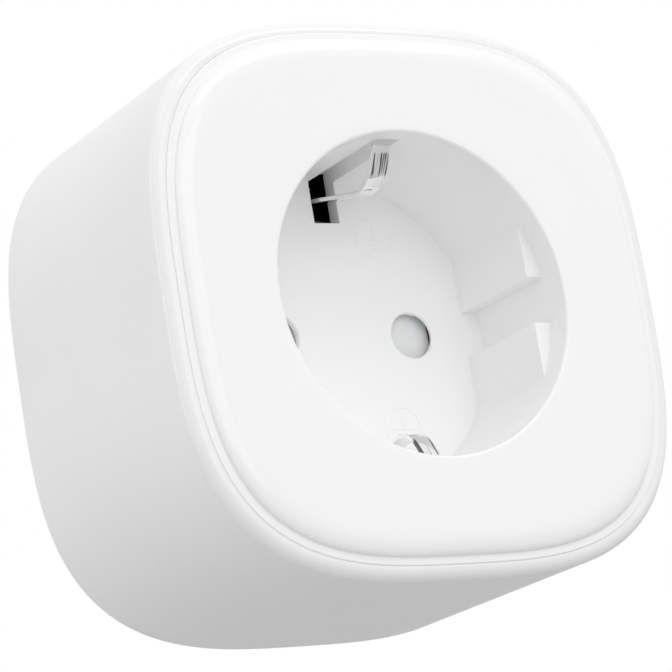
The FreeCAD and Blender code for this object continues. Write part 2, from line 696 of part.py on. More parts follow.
def radio_shield():
    can = box((-13.0, -4.4), (24.5, 35.5), (RADIO_TOP, RADIO_TOP + 2.4))
    can = can.makeFillet(0.4, [e for e in can.Edges if e.BoundBox.ZMax > RADIO_TOP + 2])
    return can.cut(box((-12.75, -4.65), (24.75, 35.25), (RADIO_TOP - 1, RADIO_TOP + 2.15)))


def radio_antenna():
    """A folded strip of copper along the board's front edge."""
    pieces = []
    for i in range(5):
        x = -12.6 + i * 1.85
        pieces.append(box((x, x + 0.6), (10.2, 16.0), (RADIO_TOP, RADIO_TOP + 0.08)))
        row = 10.2 if i % 2 else 15.4
        pieces.append(box((x, x + 2.4), (row, row + 0.6), (RADIO_TOP, RADIO_TOP + 0.08)))
    return joined(pieces)


def tact_switch_body():
    body = box((-3, 3), (BUTTON_DEPTH - 3, BUTTON_DEPTH + 3), (RADIO_TOP, SWITCH_BODY_TOP))
    body = body.makeFillet(0.3, [e for e in body.Edges if e.BoundBox.ZMin > SWITCH_BODY_TOP - 0.1])
    return body.cut(upright(1.85, (27.6, SWITCH_BODY_TOP + 1), 0, BUTTON_DEPTH))


def tact_switch_plunger():
    return upright(1.75, (28.3, PLUNGER_TOP), 0, BUTTON_DEPTH)


def status_light():
    return box((LIGHT_X - 1, LIGHT_X + 1), (BUTTON_DEPTH - 0.6, BUTTON_DEPTH + 0.6),
               (RADIO_TOP, RADIO_TOP + 0.8))


def light_guide():
    guide = upright(LIGHT_R, (RADIO_TOP + 1.0, 33.7), LIGHT_X, BUTTON_DEPTH)
    return joined([guide, upright(LIGHT_R + 0.7, (RADIO_TOP + 1.0, 31.1), LIGHT_X, BUTTON_DEPTH)])


def power_button():
    cap = stadium(BUTTON_LENGTH, BUTTON_WIDTH, (30.4, BUTTON_TOP))
    cap = cap.makeFillet(0.5, [e for e in cap.Edges if e.BoundBox.ZMin > BUTTON_TOP - 0.1])
    flange = stadium(BUTTON_LENGTH + 2 * BUTTON_FLANGE, BUTTON_WIDTH + 2 * BUTTON_FLANGE, (30.3, 31.2))
    stem = upright(2.0, (PLUNGER_TOP, 30.4), 0, BUTTON_DEPTH)
    return joined([cap, flange, stem])


NODES = {
    "main_shell": main_shell,
    "front_cover": front_cover,
    "rear_cover": rear_cover,
    "housing_screws": housing_screws,
    "plug_pin_left": lambda: plug_pin(-1),
    "plug_pin_right": lambda: plug_pin(1),
    "pin_holder": pin_holder,
    "pin_holder_screws": pin_holder_screws,
    "rear_earth_contact_top": rear_earth_contact,
    "rear_earth_contact_bottom": lambda: mirrored(rear_earth_contact()),
    "safety_shutter": safety_shutter,
    "shutter_spring": shutter_spring,
    "contact_carrier": contact_carrier,
    "carrier_screws": carrier_screws,
    "socket_contact_left": lambda: socket_contact(-1),
    "socket_contact_right": lambda: socket_contact(1),
    "contact_clamp_left": lambda: contact_clamp(-1),
    "contact_clamp_right": lambda: contact_clamp(1),
    "earth_clip_top": earth_clip,
    "earth_clip_bottom": lambda: mirrored(earth_clip()),
    "earth_bridge": earth_bridge,
    "line_strap": lambda: pin_strap(-1),
    "neutral_strap": lambda: pin_strap(1),
    "load_busbar": load_busbar,
    "main_board": main_board,
    "relay_base": relay_base,
    "relay_case": relay_case,
    "relay_bobbin": relay_bobbin,
    "relay_winding": relay_winding,
    "relay_frame": relay_frame,
    "relay_armature": relay_armature,
    "relay_fixed_contact": relay_fixed_contact,
    "varistor": varistor,
    "interference_capacitor": interference_capacitor,
    "smoothing_capacitors": smoothing_capacitors,
    "filter_choke_core": filter_choke_core,
    "filter_choke_winding": filter_choke_winding,
    "bridge_rectifier": bridge_rectifier,
    "fusible_resistor": fusible_resistor,
    "power_chip": power_chip,
    "metering_chip": metering_chip,
    "current_shunt": current_shunt,
    "small_parts": small_parts,
    "radio_board": radio_board,
    "radio_shield": radio_shield,
    "radio_antenna": radio_antenna,
    "tact_switch_body": tact_switch_body,
    "tact_switch_plunger": tact_switch_plunger,
    "status_light": status_light,
    "light_guide": light_guide,
    "power_button": power_button,
}

os.makedirs("parts", exist_ok=True)
for name, make in NODES.items():
    make().exportStep("parts/" + name + ".step")
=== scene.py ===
from math import cos, pi, radians, sin, tan

import bmesh
import bpy
from bpy.props import FloatProperty, FloatVectorProperty, PointerProperty
from mathutils import Matrix, Vector


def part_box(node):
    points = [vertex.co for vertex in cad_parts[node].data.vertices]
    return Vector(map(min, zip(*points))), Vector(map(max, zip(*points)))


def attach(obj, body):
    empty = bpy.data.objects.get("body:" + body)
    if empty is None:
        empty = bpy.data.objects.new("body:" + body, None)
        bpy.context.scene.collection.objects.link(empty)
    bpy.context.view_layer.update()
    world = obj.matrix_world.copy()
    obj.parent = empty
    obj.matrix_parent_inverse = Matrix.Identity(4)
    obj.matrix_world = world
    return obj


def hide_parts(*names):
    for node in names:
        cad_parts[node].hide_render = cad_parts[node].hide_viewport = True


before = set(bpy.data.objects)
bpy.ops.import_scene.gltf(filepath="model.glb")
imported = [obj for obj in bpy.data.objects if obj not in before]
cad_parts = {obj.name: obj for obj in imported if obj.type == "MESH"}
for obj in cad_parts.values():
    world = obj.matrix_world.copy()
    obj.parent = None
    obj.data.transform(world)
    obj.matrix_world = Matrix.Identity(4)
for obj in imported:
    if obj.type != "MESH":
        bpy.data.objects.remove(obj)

bl_info = {
    "name": "Smart Plug Looks",
    "version": (1, 0, 0),
    "blender": (4, 5, 0),
    "location": "3D View > Sidebar > Smart Plug",
    "description": "Builds the visible pieces, finishes and studio of a smart plug round its packed frame",
    "category": "Object",
}

# Pieces are shaped in millimetres: X to the right, Y the depth behind the front face, Z up.
# finished() turns them into metres in the frame's own place.
MM = 0.001
FACE_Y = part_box("front_cover")[0].y
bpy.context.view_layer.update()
SQUARENESS = 3.25        # exponent of the rounded-square outlines
AROUND = 256             # corners in each outline
TURNS = [2 * pi * i / AROUND for i in range(AROUND)]

BODY_DEPTH = 42.0
NOSE_END = 59.0
SCREW_XZ = 21.5
SCREWS = [(x, z) for x in (-SCREW_XZ, SCREW_XZ) for z in (-SCREW_XZ, SCREW_XZ)]
PIN_X = 9.5
BUTTON_DEPTH = 21.0
LIGHT_X = 9.6
LIP_CREST = 1.23         # depth of the housing's lip
SHELL_SEAM = 32.36       # half width of the housing's opening at the seam
COVER_EDGE = 32.345      # half width of the front cover at the seam
COVER_BACK = 3.2
CUP_R = 21.25            # outside of the recess's wall
RELIEF_R = 13.2          # room for the shutter behind the recess floor
RELIEF_FRONT = 19.3
FLOOR_BACK = 20.5
FLAT_X = 17.27           # side flats of the recess
FLAT_FRONT = 3.65
GROOVE_HALF = 2.8
CAVITY_R = 15.0          # hollow inside the plug nose
NOSE_FOOT_R = 19.0
PLATE_HALF = 30.75       # the rear cover's plate
PLATE_FRONT = 39.5
CLIP_ROUTE = ((25.95, 17.9), (21.4, 17.9), (7.2, 14.6), (4.3, 19.3))    # depth and height: root, heel, knee, tip
CLIP_BENDS = (2.5, 4.3)  # radii at the heel and the knee
CAMERA_PLACE = (-0.232767, -0.397788, -0.103102)
CAMERA_RIGHT = Vector((0.849028, -0.504065, -0.158334))
CAMERA_UP = Vector((0.010453, -0.283593, 0.958888))
CAMERA_LENS = 194.5
NO_RUB = 0.53            # pointiness that still counts as flat


# settings

def measure(name, description, value):
    """A length setting; the value is in millimetres."""
    return FloatProperty(name=name, description=description, default=value * MM, unit="LENGTH")


def tint(name, description, value):
    """A colour setting."""
    return FloatVectorProperty(name=name, description=description, subtype="COLOR", size=3, min=0, max=1,
                               default=value)


class ShellSettings(bpy.types.PropertyGroup):
    front_half: measure("Front half width", "Half width of the housing behind its front lip", 34.0)
    rear_half: measure("Rear half width", "Half width of the housing where it meets the wall", 33.6)
    lip_round: measure("Lip radius", "Radius of the quarter round along the front lip", 1.55)
    rear_round: measure("Rear edge radius", "Radius of the rear outer edge", 2.5)
    colour: tint("Housing colour", "Colour of the housing's moulding", (0.915, 0.917, 0.92))


class CoverSettings(bpy.types.PropertyGroup):
    pillow_half: measure("Raised face half width", "Half width of the raised face at its foot", 31.36)
    pillow_edge: measure("Soft edge width", "Width of the raised face's soft edge", 2.6)
    recess_radius: measure("Recess radius", "Radius of the round socket recess", 19.75)
    recess_depth: measure("Recess depth", "Depth of the recess floor behind the front face", 18.5)
    colour: tint("Front cover colour", "Colour of the glossy front moulding", (0.962, 0.963, 0.964))


class MetalSettings(bpy.types.PropertyGroup):
    nickel: tint("Nickel colour", "Colour of the plated clips, strips and pins", (0.94, 0.935, 0.925))
    clip_width: measure("Clip width", "Width of the earth clips", 2.4)
    clip_gauge: measure("Clip gauge", "Thickness of the earth clips' sheet metal", 0.6)


class StudioSettings(bpy.types.PropertyGroup):
    surround: FloatProperty(
        name="Surround light", description="Brightness of the room round the object",
        default=0.875, min=0, soft_max=2)
    key_power: FloatProperty(
        name="Key light", description="Power of the large soft light above and in front",
        default=2.1, min=0, unit="POWER")
    floor_height: measure("Floor height", "Height of the studio floor, below the camera", -220.0)
    floor_colour: tint("Floor colour", "Colour of the studio floor", (0.53, 0.53, 0.535))


# outlines and shaping

def squircle(half, turn, inset=0.0):
    """A point on a rounded-square outline, moved inwards by inset."""
    c, s = cos(turn), sin(turn)
    reach = half * (abs(c) ** SQUARENESS + abs(s) ** SQUARENESS) ** (-1 / SQUARENESS)
    out = Vector((abs(c) ** (SQUARENESS - 1) * (1 if c > 0 else -1), 0,
                  abs(s) ** (SQUARENESS - 1) * (1 if s > 0 else -1))).normalized()
    return Vector((reach * c, 0, reach * s)) - out * inset


def square(half, depth, inset=0.0):
    """A rounded-square station of a loft."""
    return lambda turn: squircle(half, turn, inset) + Vector((0, depth, 0))


def circle(radius, depth):
    """A round station of a loft."""
    return lambda turn: Vector((radius * cos(turn), depth, radius * sin(turn)))


def between(a, b, share):
    """A station partly from a to b."""
    return lambda turn: a(turn).lerp(b(turn), share)


def outward(bm):
    """Turns every face to point outwards."""
    bmesh.ops.recalc_face_normals(bm, faces=bm.faces)


def loft(stations):
    """One ring of corners, extruded from station to station and capped at both ends."""
    bm = bmesh.new()
    ring = bmesh.ops.create_circle(bm, cap_ends=True, radius=1, segments=AROUND)["verts"]
    for corner, turn in zip(ring, TURNS):
        corner.co = stations[0](turn)
    for station in stations[1:]:
        edges = [bm.edges.get((ring[i - 1], ring[i])) for i in range(AROUND)]
        made = bmesh.ops.extrude_edge_only(bm, edges=edges)["geom"]
        fresh = {g for g in made if isinstance(g, bmesh.types.BMVert)}
        ring = [next(e.other_vert(v) for e in v.link_edges if e.other_vert(v) in fresh) for v in ring]
        for corner, turn in zip(ring, TURNS):
            corner.co = station(turn)
    bmesh.ops.contextual_create(bm, geom=ring)
    outward(bm)
    return bm


def hoop(stations):
    """A loft whose last ring joins its first, with no caps."""
    bm = loft(stations)
    caps = [f for f in bm.faces if len(f.verts) == AROUND]
    rims = [e for f in caps for e in f.edges]
    bmesh.ops.delete(bm, geom=caps, context="FACES_ONLY")
    bmesh.ops.bridge_loops(bm, edges=rims)
    outward(bm)
    return bm


def spun(bm, places, centre, axis, steps):
    """Turns a line of corners once round an axis."""
    corners = [bm.verts.new(place) for place in places]
    edges = [bm.edges.new(pair) for pair in zip(corners, corners[1:])]
    bmesh.ops.spin(bm, geom=corners + edges, cent=centre, axis=axis, angle=2 * pi, steps=steps,
                   use_merge=True)
    bmesh.ops.remove_doubles(bm, verts=bm.verts, dist=1e-5)
    outward(bm)


def lathe(bm, profile, x=0.0, z=0.0, steps=64):
    """A (radius, depth) profile turned round an axis along Y."""
    spun(bm, [(x + radius, depth, z) for radius, depth in profile], (x, 0, z), (0, 1, 0), steps)


def rod(bm, radius, depth, x=0.0, z=0.0, ease=0.15, steps=48):
    """A round rod along Y with eased ends."""
    low, high = depth
    lathe(bm, [(0, low), (radius - ease, low), (radius, low + ease), (radius, high - ease),
               (radius - ease, high), (0, high)], x, z, steps)


def tube(bm, outer, inner, depth, x=0.0, z=0.0, steps=40):
    """A rod with a blind bore from its far end."""
    low, high = depth
    lathe(bm, [(0, low), (outer, low), (outer, high - 0.2), (outer - 0.2, high), (inner + 0.2, high),
               (inner, high - 0.2), (inner, high - 8 if high - low > 9 else low + 0.6), (0, low + 0.5)],
          x, z, steps)


def eased(bm, parts, ease, segments=2, affect="EDGES", clamp=False):
    """Rounds off edges or corners."""
    bmesh.ops.bevel(bm, geom=parts, offset=ease, offset_type="OFFSET", segments=segments, profile=0.5,
                    affect=affect, material=-1, clamp_overlap=clamp)


def grown(bm, faces, vec):
    """Extrudes faces along a vector."""
    made = bmesh.ops.extrude_face_region(bm, geom=faces)["geom"]
    bmesh.ops.translate(bm, vec=vec, verts=[g for g in made if isinstance(g, bmesh.types.BMVert)])


def slab(bm, x, depth, z, ease=0.0):
    """A box from three (low, high) ranges, with eased edges."""
    size = Vector((max(x) - min(x), max(depth) - min(depth), max(z) - min(z)))
    middle = Vector((sum(x) / 2, sum(depth) / 2, sum(z) / 2))
    place = Matrix.Translation(middle) @ Matrix.Diagonal(size).to_4x4()
    made = bmesh.ops.create_cube(bm, size=1, matrix=place)
    if ease:
        edges = list({e for v in made["verts"] for e in v.link_edges})
        eased(bm, edges, ease)


def as_object(bm, name):
    mesh = bpy.data.meshes.new(name)
    bm.to_mesh(mesh)
    bm.free()
    piece = bpy.data.objects.new(name, mesh)
    bpy.context.scene.collection.objects.link(piece)
    return piece


def combined(bm, tool, operation):
    """Joins a second closed shape to the first, or cuts it away."""
    piece = as_object(bm, "work_piece")
    other = as_object(tool, "work_tool")
    change = piece.modifiers.new("combine", "BOOLEAN")
    change.operation = operation
    change.solver = "EXACT"
    change.object = other
    bpy.context.view_layer.update()
    result = bpy.data.meshes.new_from_object(piece.evaluated_get(bpy.context.evaluated_depsgraph_get()))
    whole = bmesh.new()
    whole.from_mesh(result)
    for thing in (piece, other):
        mesh = thing.data
        bpy.data.objects.remove(thing)
        bpy.data.meshes.remove(mesh)
    bpy.data.meshes.remove(result)
    bmesh.ops.remove_doubles(whole, verts=whole.verts, dist=2e-4)
    bmesh.ops.dissolve_degenerate(whole, edges=whole.edges, dist=1e-4)
    return whole


def finished(bm, name, material, nodes=(), body="housing", crease=35.0):
    """Puts a shaped piece into the frame in metres, with its finish, its body and the nodes it stands for."""
    bmesh.ops.scale(bm, vec=(MM, MM, MM), verts=bm.verts)
    bmesh.ops.translate(bm, vec=(0, FACE_Y, 0), verts=bm.verts)
    for face in bm.faces:
        face.smooth = True
    piece = as_object(bm, name)
    piece.data.set_sharp_from_angle(angle=radians(crease))
    piece.data.materials.append(material)
    if nodes:
        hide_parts(*nodes)
    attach(piece, body)
    return piece


def softened_copy(node, name, material, ease, body="housing"):
    """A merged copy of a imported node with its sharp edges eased."""
    bm = bmesh.new()
    bm.from_mesh(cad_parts[node].data)
    bmesh.ops.translate(bm, vec=(0, -FACE_Y, 0), verts=bm.verts)
    bmesh.ops.scale(bm, vec=(1 / MM, 1 / MM, 1 / MM), verts=bm.verts)
    bmesh.ops.remove_doubles(bm, verts=bm.verts, dist=1e-3)
    bmesh.ops.dissolve_limit(bm, angle_limit=radians(2), verts=bm.verts, edges=bm.edges)
    sharp = [e for e in bm.edges if len(e.link_faces) == 2 and e.calc_face_angle() > radians(40)]
    eased(bm, sharp, ease, clamp=True)
    return finished(bm, name, material, (node,), body)


# shader groups, each made once and shared

def group(name, inputs, outputs):
    """A new node group with named sockets, and its two end nodes."""
    tree = bpy.data.node_groups.new(name, "ShaderNodeTree")
    for label, value in inputs.items():
        kind = "NodeSocketVector" if isinstance(value, tuple) else "NodeSocketFloat"
        tree.interface.new_socket(name=label, in_out="INPUT", socket_type=kind).default_value = value
    for label in outputs:
        tree.interface.new_socket(name=label, in_out="OUTPUT", socket_type="NodeSocketFloat")
    return tree, tree.nodes.new("NodeGroupInput"), tree.nodes.new("NodeGroupOutput")


def put(tree, socket, value):
    """Links a socket to a value's socket, or sets it to a plain value."""
    if isinstance(value, bpy.types.NodeSocket):
        tree.links.new(value, socket)
    else:
        socket.default_value = value


def math(tree, operation, a, b=None):
    """A maths node; its inputs are sockets or numbers."""
    node = tree.nodes.new("ShaderNodeMath")
    node.operation = operation
    for i, value in enumerate((a, b)):
        if value is not None:
            put(tree, node.inputs[i], value)
    return node.outputs[0]


def spread(tree, value, low, high, to_low=0.0, to_high=1.0):
    """Maps low..high to to_low..to_high, clamped."""
    node = tree.nodes.new("ShaderNodeMapRange")
    tree.links.new(value, node.inputs["Value"])
    for label, number in (("From Min", low), ("From Max", high), ("To Min", to_low), ("To Max", to_high)):
        node.inputs[label].default_value = number
    return node.outputs["Result"]


def ranged(tree, value, low, high):
    """Maps a value between 0 and 1 to low..high."""
    return spread(tree, value, 0.0, 1.0, low, high)


def times(tree, a, b):
    return math(tree, "MULTIPLY", a, b)


def plus(tree, a, b):
    return math(tree, "ADD", a, b)


def less(tree, a, b):
    return math(tree, "SUBTRACT", a, b)


def noise(tree, vector, scale, detail=3.0, roughness=0.5):
    node = tree.nodes.new("ShaderNodeTexNoise")
    tree.links.new(vector, node.inputs["Vector"])
    put(tree, node.inputs["Scale"], scale)
    node.inputs["Detail"].default_value = detail
    node.inputs["Roughness"].default_value = roughness
    return node.outputs["Fac"]


def object_place(tree):
    return tree.nodes.new("ShaderNodeTexCoord").outputs["Object"]


def object_axis(tree, axis):
    split = tree.nodes.new("ShaderNodeSeparateXYZ")
    tree.links.new(object_place(tree), split.inputs[0])
    return split.outputs[axis]


def stretched(tree, vector, scale):
    """The same coordinates, stretched by a scale along each axis."""
    node = tree.nodes.new("ShaderNodeMapping")
    tree.links.new(vector, node.inputs["Vector"])
    put(tree, node.inputs["Scale"], scale)
    return node.outputs["Vector"]


def moulded_grain(name):
    """Spark-eroded mould texture, with slow changes of tone and polish."""
    tree, start, end = group(name, {"Grain": 5000.0, "Patch": 60.0}, ("Height", "Tone", "Polish"))
    place = object_place(tree)
    fine = noise(tree, place, start.outputs["Grain"], 4.0, 0.6)
    pits = spread(tree, noise(tree, place, times(tree, start.outputs["Grain"], 0.31), 2.0), 0.35, 0.65)
    height = plus(tree, times(tree, fine, 0.7), times(tree, pits, 0.3))
    tree.links.new(height, end.inputs["Height"])
    slow = noise(tree, place, start.outputs["Patch"], 3.0, 0.55)
    tree.links.new(spread(tree, slow, 0.3, 0.7), end.inputs["Tone"])
    cloud = noise(tree, place, times(tree, start.outputs["Patch"], 4.3), 4.0, 0.6)
    tree.links.new(spread(tree, cloud, 0.3, 0.7), end.inputs["Polish"])
    return tree


def handling_marks(name):
    """Hair-fine rubbed lines in two directions, thinned out in patches."""
    tree, start, end = group(name, {"Density": 0.5}, ("Mask",))
    place = object_place(tree)
    lines = []
    for turn, squeeze in ((0.5, (9000, 260, 600)), (-0.9, (320, 400, 9000))):
        node = tree.nodes.new("ShaderNodeMapping")
        tree.links.new(place, node.inputs["Vector"])
        node.inputs["Rotation"].default_value = (0.2, turn, 0.4 * turn)
        node.inputs["Scale"].default_value = squeeze
        lines.append(spread(tree, noise(tree, node.outputs["Vector"], 1.0, 1.0), 0.70, 0.78))
    both = math(tree, "MAXIMUM", lines[0], lines[1])
    patch = spread(tree, noise(tree, place, 140.0, 2.0), 0.45, 0.7)
    tree.links.new(times(tree, times(tree, both, patch), start.outputs["Density"]), end.inputs["Mask"])
    return tree


def drawn_metal(name):
    """Rolling lines along sheet metal or a turned pin."""
    tree, start, end = group(name, {"Stretch": (4000.0, 120.0, 4000.0)}, ("Height", "Tone"))
    place = object_place(tree)
    lines = noise(tree, stretched(tree, place, start.outputs["Stretch"]), 1.0, 4.0, 0.6)
    tree.links.new(lines, end.inputs["Height"])
    tree.links.new(spread(tree, noise(tree, place, 350.0, 4.0, 0.6), 0.3, 0.7), end.inputs["Tone"])
    return tree


def edge_rub(name):
    """Where handling has polished outer edges, broken up by noise."""
    tree, start, end = group(name, {"Reach": 0.56}, ("Mask",))
    shape = tree.nodes.new("ShaderNodeNewGeometry").outputs["Pointiness"]
    above = less(tree, shape, NO_RUB)
    edge = math(tree, "DIVIDE", above, less(tree, start.outputs["Reach"], NO_RUB))
    broken = spread(tree, noise(tree, object_place(tree), 900.0, 3.0), 0.35, 0.6)
    held = math(tree, "MINIMUM", math(tree, "MAXIMUM", times(tree, edge, broken), 0.0), 1.0)
    tree.links.new(held, end.inputs["Mask"])
    return tree


def wound_wire(name):
    """Round wires lying side by side along the coil's axis."""
    tree, start, end = group(name, {"Pitch": 4200.0}, ("Height", "Tone"))
    place = object_place(tree)
    wander = times(tree, noise(tree, place, 300.0, 2.0), 0.0002)
    along = times(tree, plus(tree, object_axis(tree, "Y"), wander), start.outputs["Pitch"])
    wave = math(tree, "ABSOLUTE", math(tree, "SINE", times(tree, along, pi)))
    tree.links.new(wave, end.inputs["Height"])
    each = noise(tree, stretched(tree, place, (300.0, 4200.0, 300.0)), 1.0, 1.0)
    tree.links.new(spread(tree, each, 0.3, 0.7), end.inputs["Tone"])
    return tree


def printed_tracks(name):
    """Copper tracks under solder resist, with tinned round pads, on a board lying across one axis."""
    tree, start, end = group(name, {"Flatten": (1.0, 0.0, 1.0)}, ("Tracks", "Pads", "Weave"))
    place = stretched(tree, object_place(tree), start.outputs["Flatten"])
    cells = tree.nodes.new("ShaderNodeTexVoronoi")
    cells.feature = "DISTANCE_TO_EDGE"
    cells.inputs["Scale"].default_value = 210.0
    cells.inputs["Randomness"].default_value = 0.55
    tree.links.new(place, cells.inputs["Vector"])
    tree.links.new(spread(tree, cells.outputs["Distance"], 0.05, 0.07, 1.0, 0.0), end.inputs["Tracks"])
    dots = tree.nodes.new("ShaderNodeTexVoronoi")
    dots.inputs["Scale"].default_value = 330.0
    dots.inputs["Randomness"].default_value = 0.8
    tree.links.new(place, dots.inputs["Vector"])
    tree.links.new(spread(tree, dots.outputs["Distance"], 0.13, 0.16, 1.0, 0.0), end.inputs["Pads"])
    weave = noise(tree, stretched(tree, place, (3200.0, 3200.0, 3200.0)), 1.0, 2.0)
    tree.links.new(weave, end.inputs["Weave"])
    return tree


# finishes

def use(tree, make, **values):
    """Places a shared group, made the first time it is asked for, in a material with its own values."""
    name = make.__name__.replace("_", " ").capitalize()
    node = tree.nodes.new("ShaderNodeGroup")
    node.node_tree = bpy.data.node_groups.get(name) or make(name)
    for label, value in values.items():
        node.inputs[label].default_value = value
    return node.outputs


def tinted(tree, mask, plain, marked):
    """A colour from plain to marked by a mask."""
    node = tree.nodes.new("ShaderNodeMix")
    node.data_type = "RGBA"
    tree.links.new(mask, node.inputs["Factor"])
    for label, colour in ((6, plain), (7, marked)):
        put(tree, node.inputs[label], colour if isinstance(colour, bpy.types.NodeSocket) else (*colour, 1.0))
    return node.outputs[2]


def shade(colour, factor):
    return tuple(max(0.0, min(1.0, part * factor)) for part in colour)


def finish(name, metallic=0.0, coat=0.0, ior=1.5, glass=0.0):
    """A new material, its node tree and its shader; uniform values are set on the shader."""
    material = bpy.data.materials.new(name)
    material.use_nodes = True
    tree = material.node_tree
    shader = next(n for n in tree.nodes if n.type == "BSDF_PRINCIPLED")
    shader.inputs["Metallic"].default_value = metallic
    shader.inputs["Coat Weight"].default_value = coat
    shader.inputs["Coat Roughness"].default_value = 0.08
    shader.inputs["IOR"].default_value = ior
    shader.inputs["Transmission Weight"].default_value = glass
    return material, tree, shader


def bumped(tree, shader, height, relief):
    """Gives a shader a bump of so many millimetres."""
    node = tree.nodes.new("ShaderNodeBump")
    node.inputs["Distance"].default_value = relief * MM
    tree.links.new(height, node.inputs["Height"])
    tree.links.new(node.outputs["Normal"], shader.inputs["Normal"])


def dress(tree, shader, colour, roughness, height, relief):
    """Links a shader to its colour, its roughness and its bump."""
    tree.links.new(colour, shader.inputs["Base Color"])
    tree.links.new(roughness, shader.inputs["Roughness"])
    bumped(tree, shader, height, relief)


def moulded(name, colour, rough=(0.4, 0.5), grain=5000.0, relief=0.004, marks=0.4, coat=0.0, variation=0.03):
    """A moulded plastic: fine texture, slow tone changes, rubbed edges and hair-fine handling marks."""
    material, tree, shader = finish(name, coat=coat)
    skin = use(tree, moulded_grain, Grain=grain)
    rub = use(tree, edge_rub, Reach=0.58)
    lines = use(tree, handling_marks, Density=marks)
    toned = tinted(tree, skin["Tone"], shade(colour, 1 - variation), shade(colour, 1 + variation / 2))
    base = ranged(tree, skin["Polish"], rough[0], rough[1])
    polished = less(tree, base, times(tree, rub["Mask"], 0.06))
    height = less(tree, skin["Height"], times(tree, lines["Mask"], 0.5))
    dress(tree, shader, tinted(tree, rub["Mask"], toned, shade(colour, 1 + variation)),
          plus(tree, polished, times(tree, lines["Mask"], 0.08)),
          height, relief)
    return material


def plated(name, colour, rough=(0.1, 0.2), stretch=(4000.0, 120.0, 4000.0), relief=0.001, wear=0.5):
    """A plated or bare metal with its rolling or turning lines, tarnish and bright rubbed edges."""
    material, tree, shader = finish(name, metallic=1.0)
    lines = use(tree, drawn_metal, Stretch=stretch)
    rub = use(tree, edge_rub, Reach=0.57)
    toned = tinted(tree, lines["Tone"], shade(colour, 0.9), colour)
    bright = times(tree, rub["Mask"], wear)
    dress(tree, shader, tinted(tree, bright, toned, shade(colour, 1.12)),
          ranged(tree, lines["Tone"], rough[1], rough[0]),
          lines["Height"], relief)
    return material


def clip_metal(name, colour):
    """Bright nickel strip with painted dark reflection streaks along the front of the clips."""
    material, tree, shader = finish(name, metallic=1.0)
    lines = use(tree, drawn_metal, Stretch=(5000.0, 160.0, 160.0))
    streaks = noise(tree, stretched(tree, object_place(tree), (2600.0, 90.0, 90.0)), 1.0, 2.0, 0.6)
    height = math(tree, "ABSOLUTE", object_axis(tree, "Z"))
    front = spread(tree, object_axis(tree, "Y"), FACE_Y + 6.4 * MM, FACE_Y + 6.0 * MM)
    low = spread(tree, height, 15.9 * MM, 16.5 * MM)
    high = spread(tree, height, 18.7 * MM, 18.4 * MM)
    # Painted reflection: the worn mask paints near-black streaks on the clips' front. They stand in for the dark
    # slot reflected there, not for wear from plugs.
    painted_reflection_band = times(tree, times(tree, low, high), front)
    worn = times(tree, spread(tree, streaks, 0.50, 0.56), painted_reflection_band)
    toned = tinted(tree, lines["Tone"], shade(colour, 0.96), colour)
    dull = times(tree, worn, 0.08)
    dress(tree, shader, tinted(tree, worn, toned, shade(colour, 0.16)),
          plus(tree, ranged(tree, lines["Tone"], 0.08, 0.04), dull),
          lines["Height"], 0.0004)
    return material


def housing_plastic(name, colour):
    """The housing's moulding: satin and finely textured on the sides, polished on the front lip."""
    material, tree, shader = finish(name)
    skin = use(tree, moulded_grain, Grain=4200.0, Patch=45.0)
    rub = use(tree, edge_rub, Reach=0.62)
    lines = use(tree, handling_marks, Density=0.35)
    side = spread(tree, object_axis(tree, "Y"), FACE_Y + 2.6 * MM, FACE_Y + 3.3 * MM)
    toned = tinted(tree, skin["Tone"], shade(colour, 0.985), shade(colour, 1.01))
    satin = ranged(tree, skin["Polish"], 0.40, 0.48)
    gloss = ranged(tree, skin["Polish"], 0.08, 0.11)
    mixed = plus(tree, times(tree, satin, side), times(tree, gloss, less(tree, 1.0, side)))
    texture = times(tree, skin["Height"], plus(tree, times(tree, side, 0.92), 0.08))
    dress(tree, shader, tinted(tree, rub["Mask"], toned, shade(colour, 1.03)),
          plus(tree, mixed, times(tree, lines["Mask"], 0.06)),
          texture, 0.006)
    return material


def cover_plastic(name, colour):
    """The front cover's moulding: glossy, with a faint flow ripple, and a duller recess."""
    material, tree, shader = finish(name)
    skin = use(tree, moulded_grain, Grain=5200.0, Patch=60.0)
    lines = use(tree, handling_marks, Density=0.5)
    rub = use(tree, edge_rub, Reach=0.62)
    inside = spread(tree, object_axis(tree, "Y"), FACE_Y + 1.6 * MM, FACE_Y + 3.0 * MM)
    toned = tinted(tree, skin["Tone"], shade(colour, 0.994), shade(colour, 1.004))
    gloss = ranged(tree, skin["Polish"], 0.10, 0.14)
    dull = ranged(tree, skin["Polish"], 0.31, 0.35)
    mixed = plus(tree, times(tree, dull, inside), times(tree, gloss, less(tree, 1.0, inside)))
    dress(tree, shader, tinted(tree, rub["Mask"], toned, shade(colour, 1.02)),
          plus(tree, mixed, times(tree, lines["Mask"], 0.08)),
          skin["Height"], 0.001)
    return material


def clear_plastic(name, colour):
    """The light guide's clear moulding, faintly frosted at its end."""
    material, tree, shader = finish(name, ior=1.49, glass=0.7)
    skin = use(tree, moulded_grain, Grain=7000.0)
    dress(tree, shader, tinted(tree, skin["Tone"], shade(colour, 0.96), colour),
          ranged(tree, skin["Polish"], 0.14, 0.24),
          skin["Height"], 0.003)
    return material


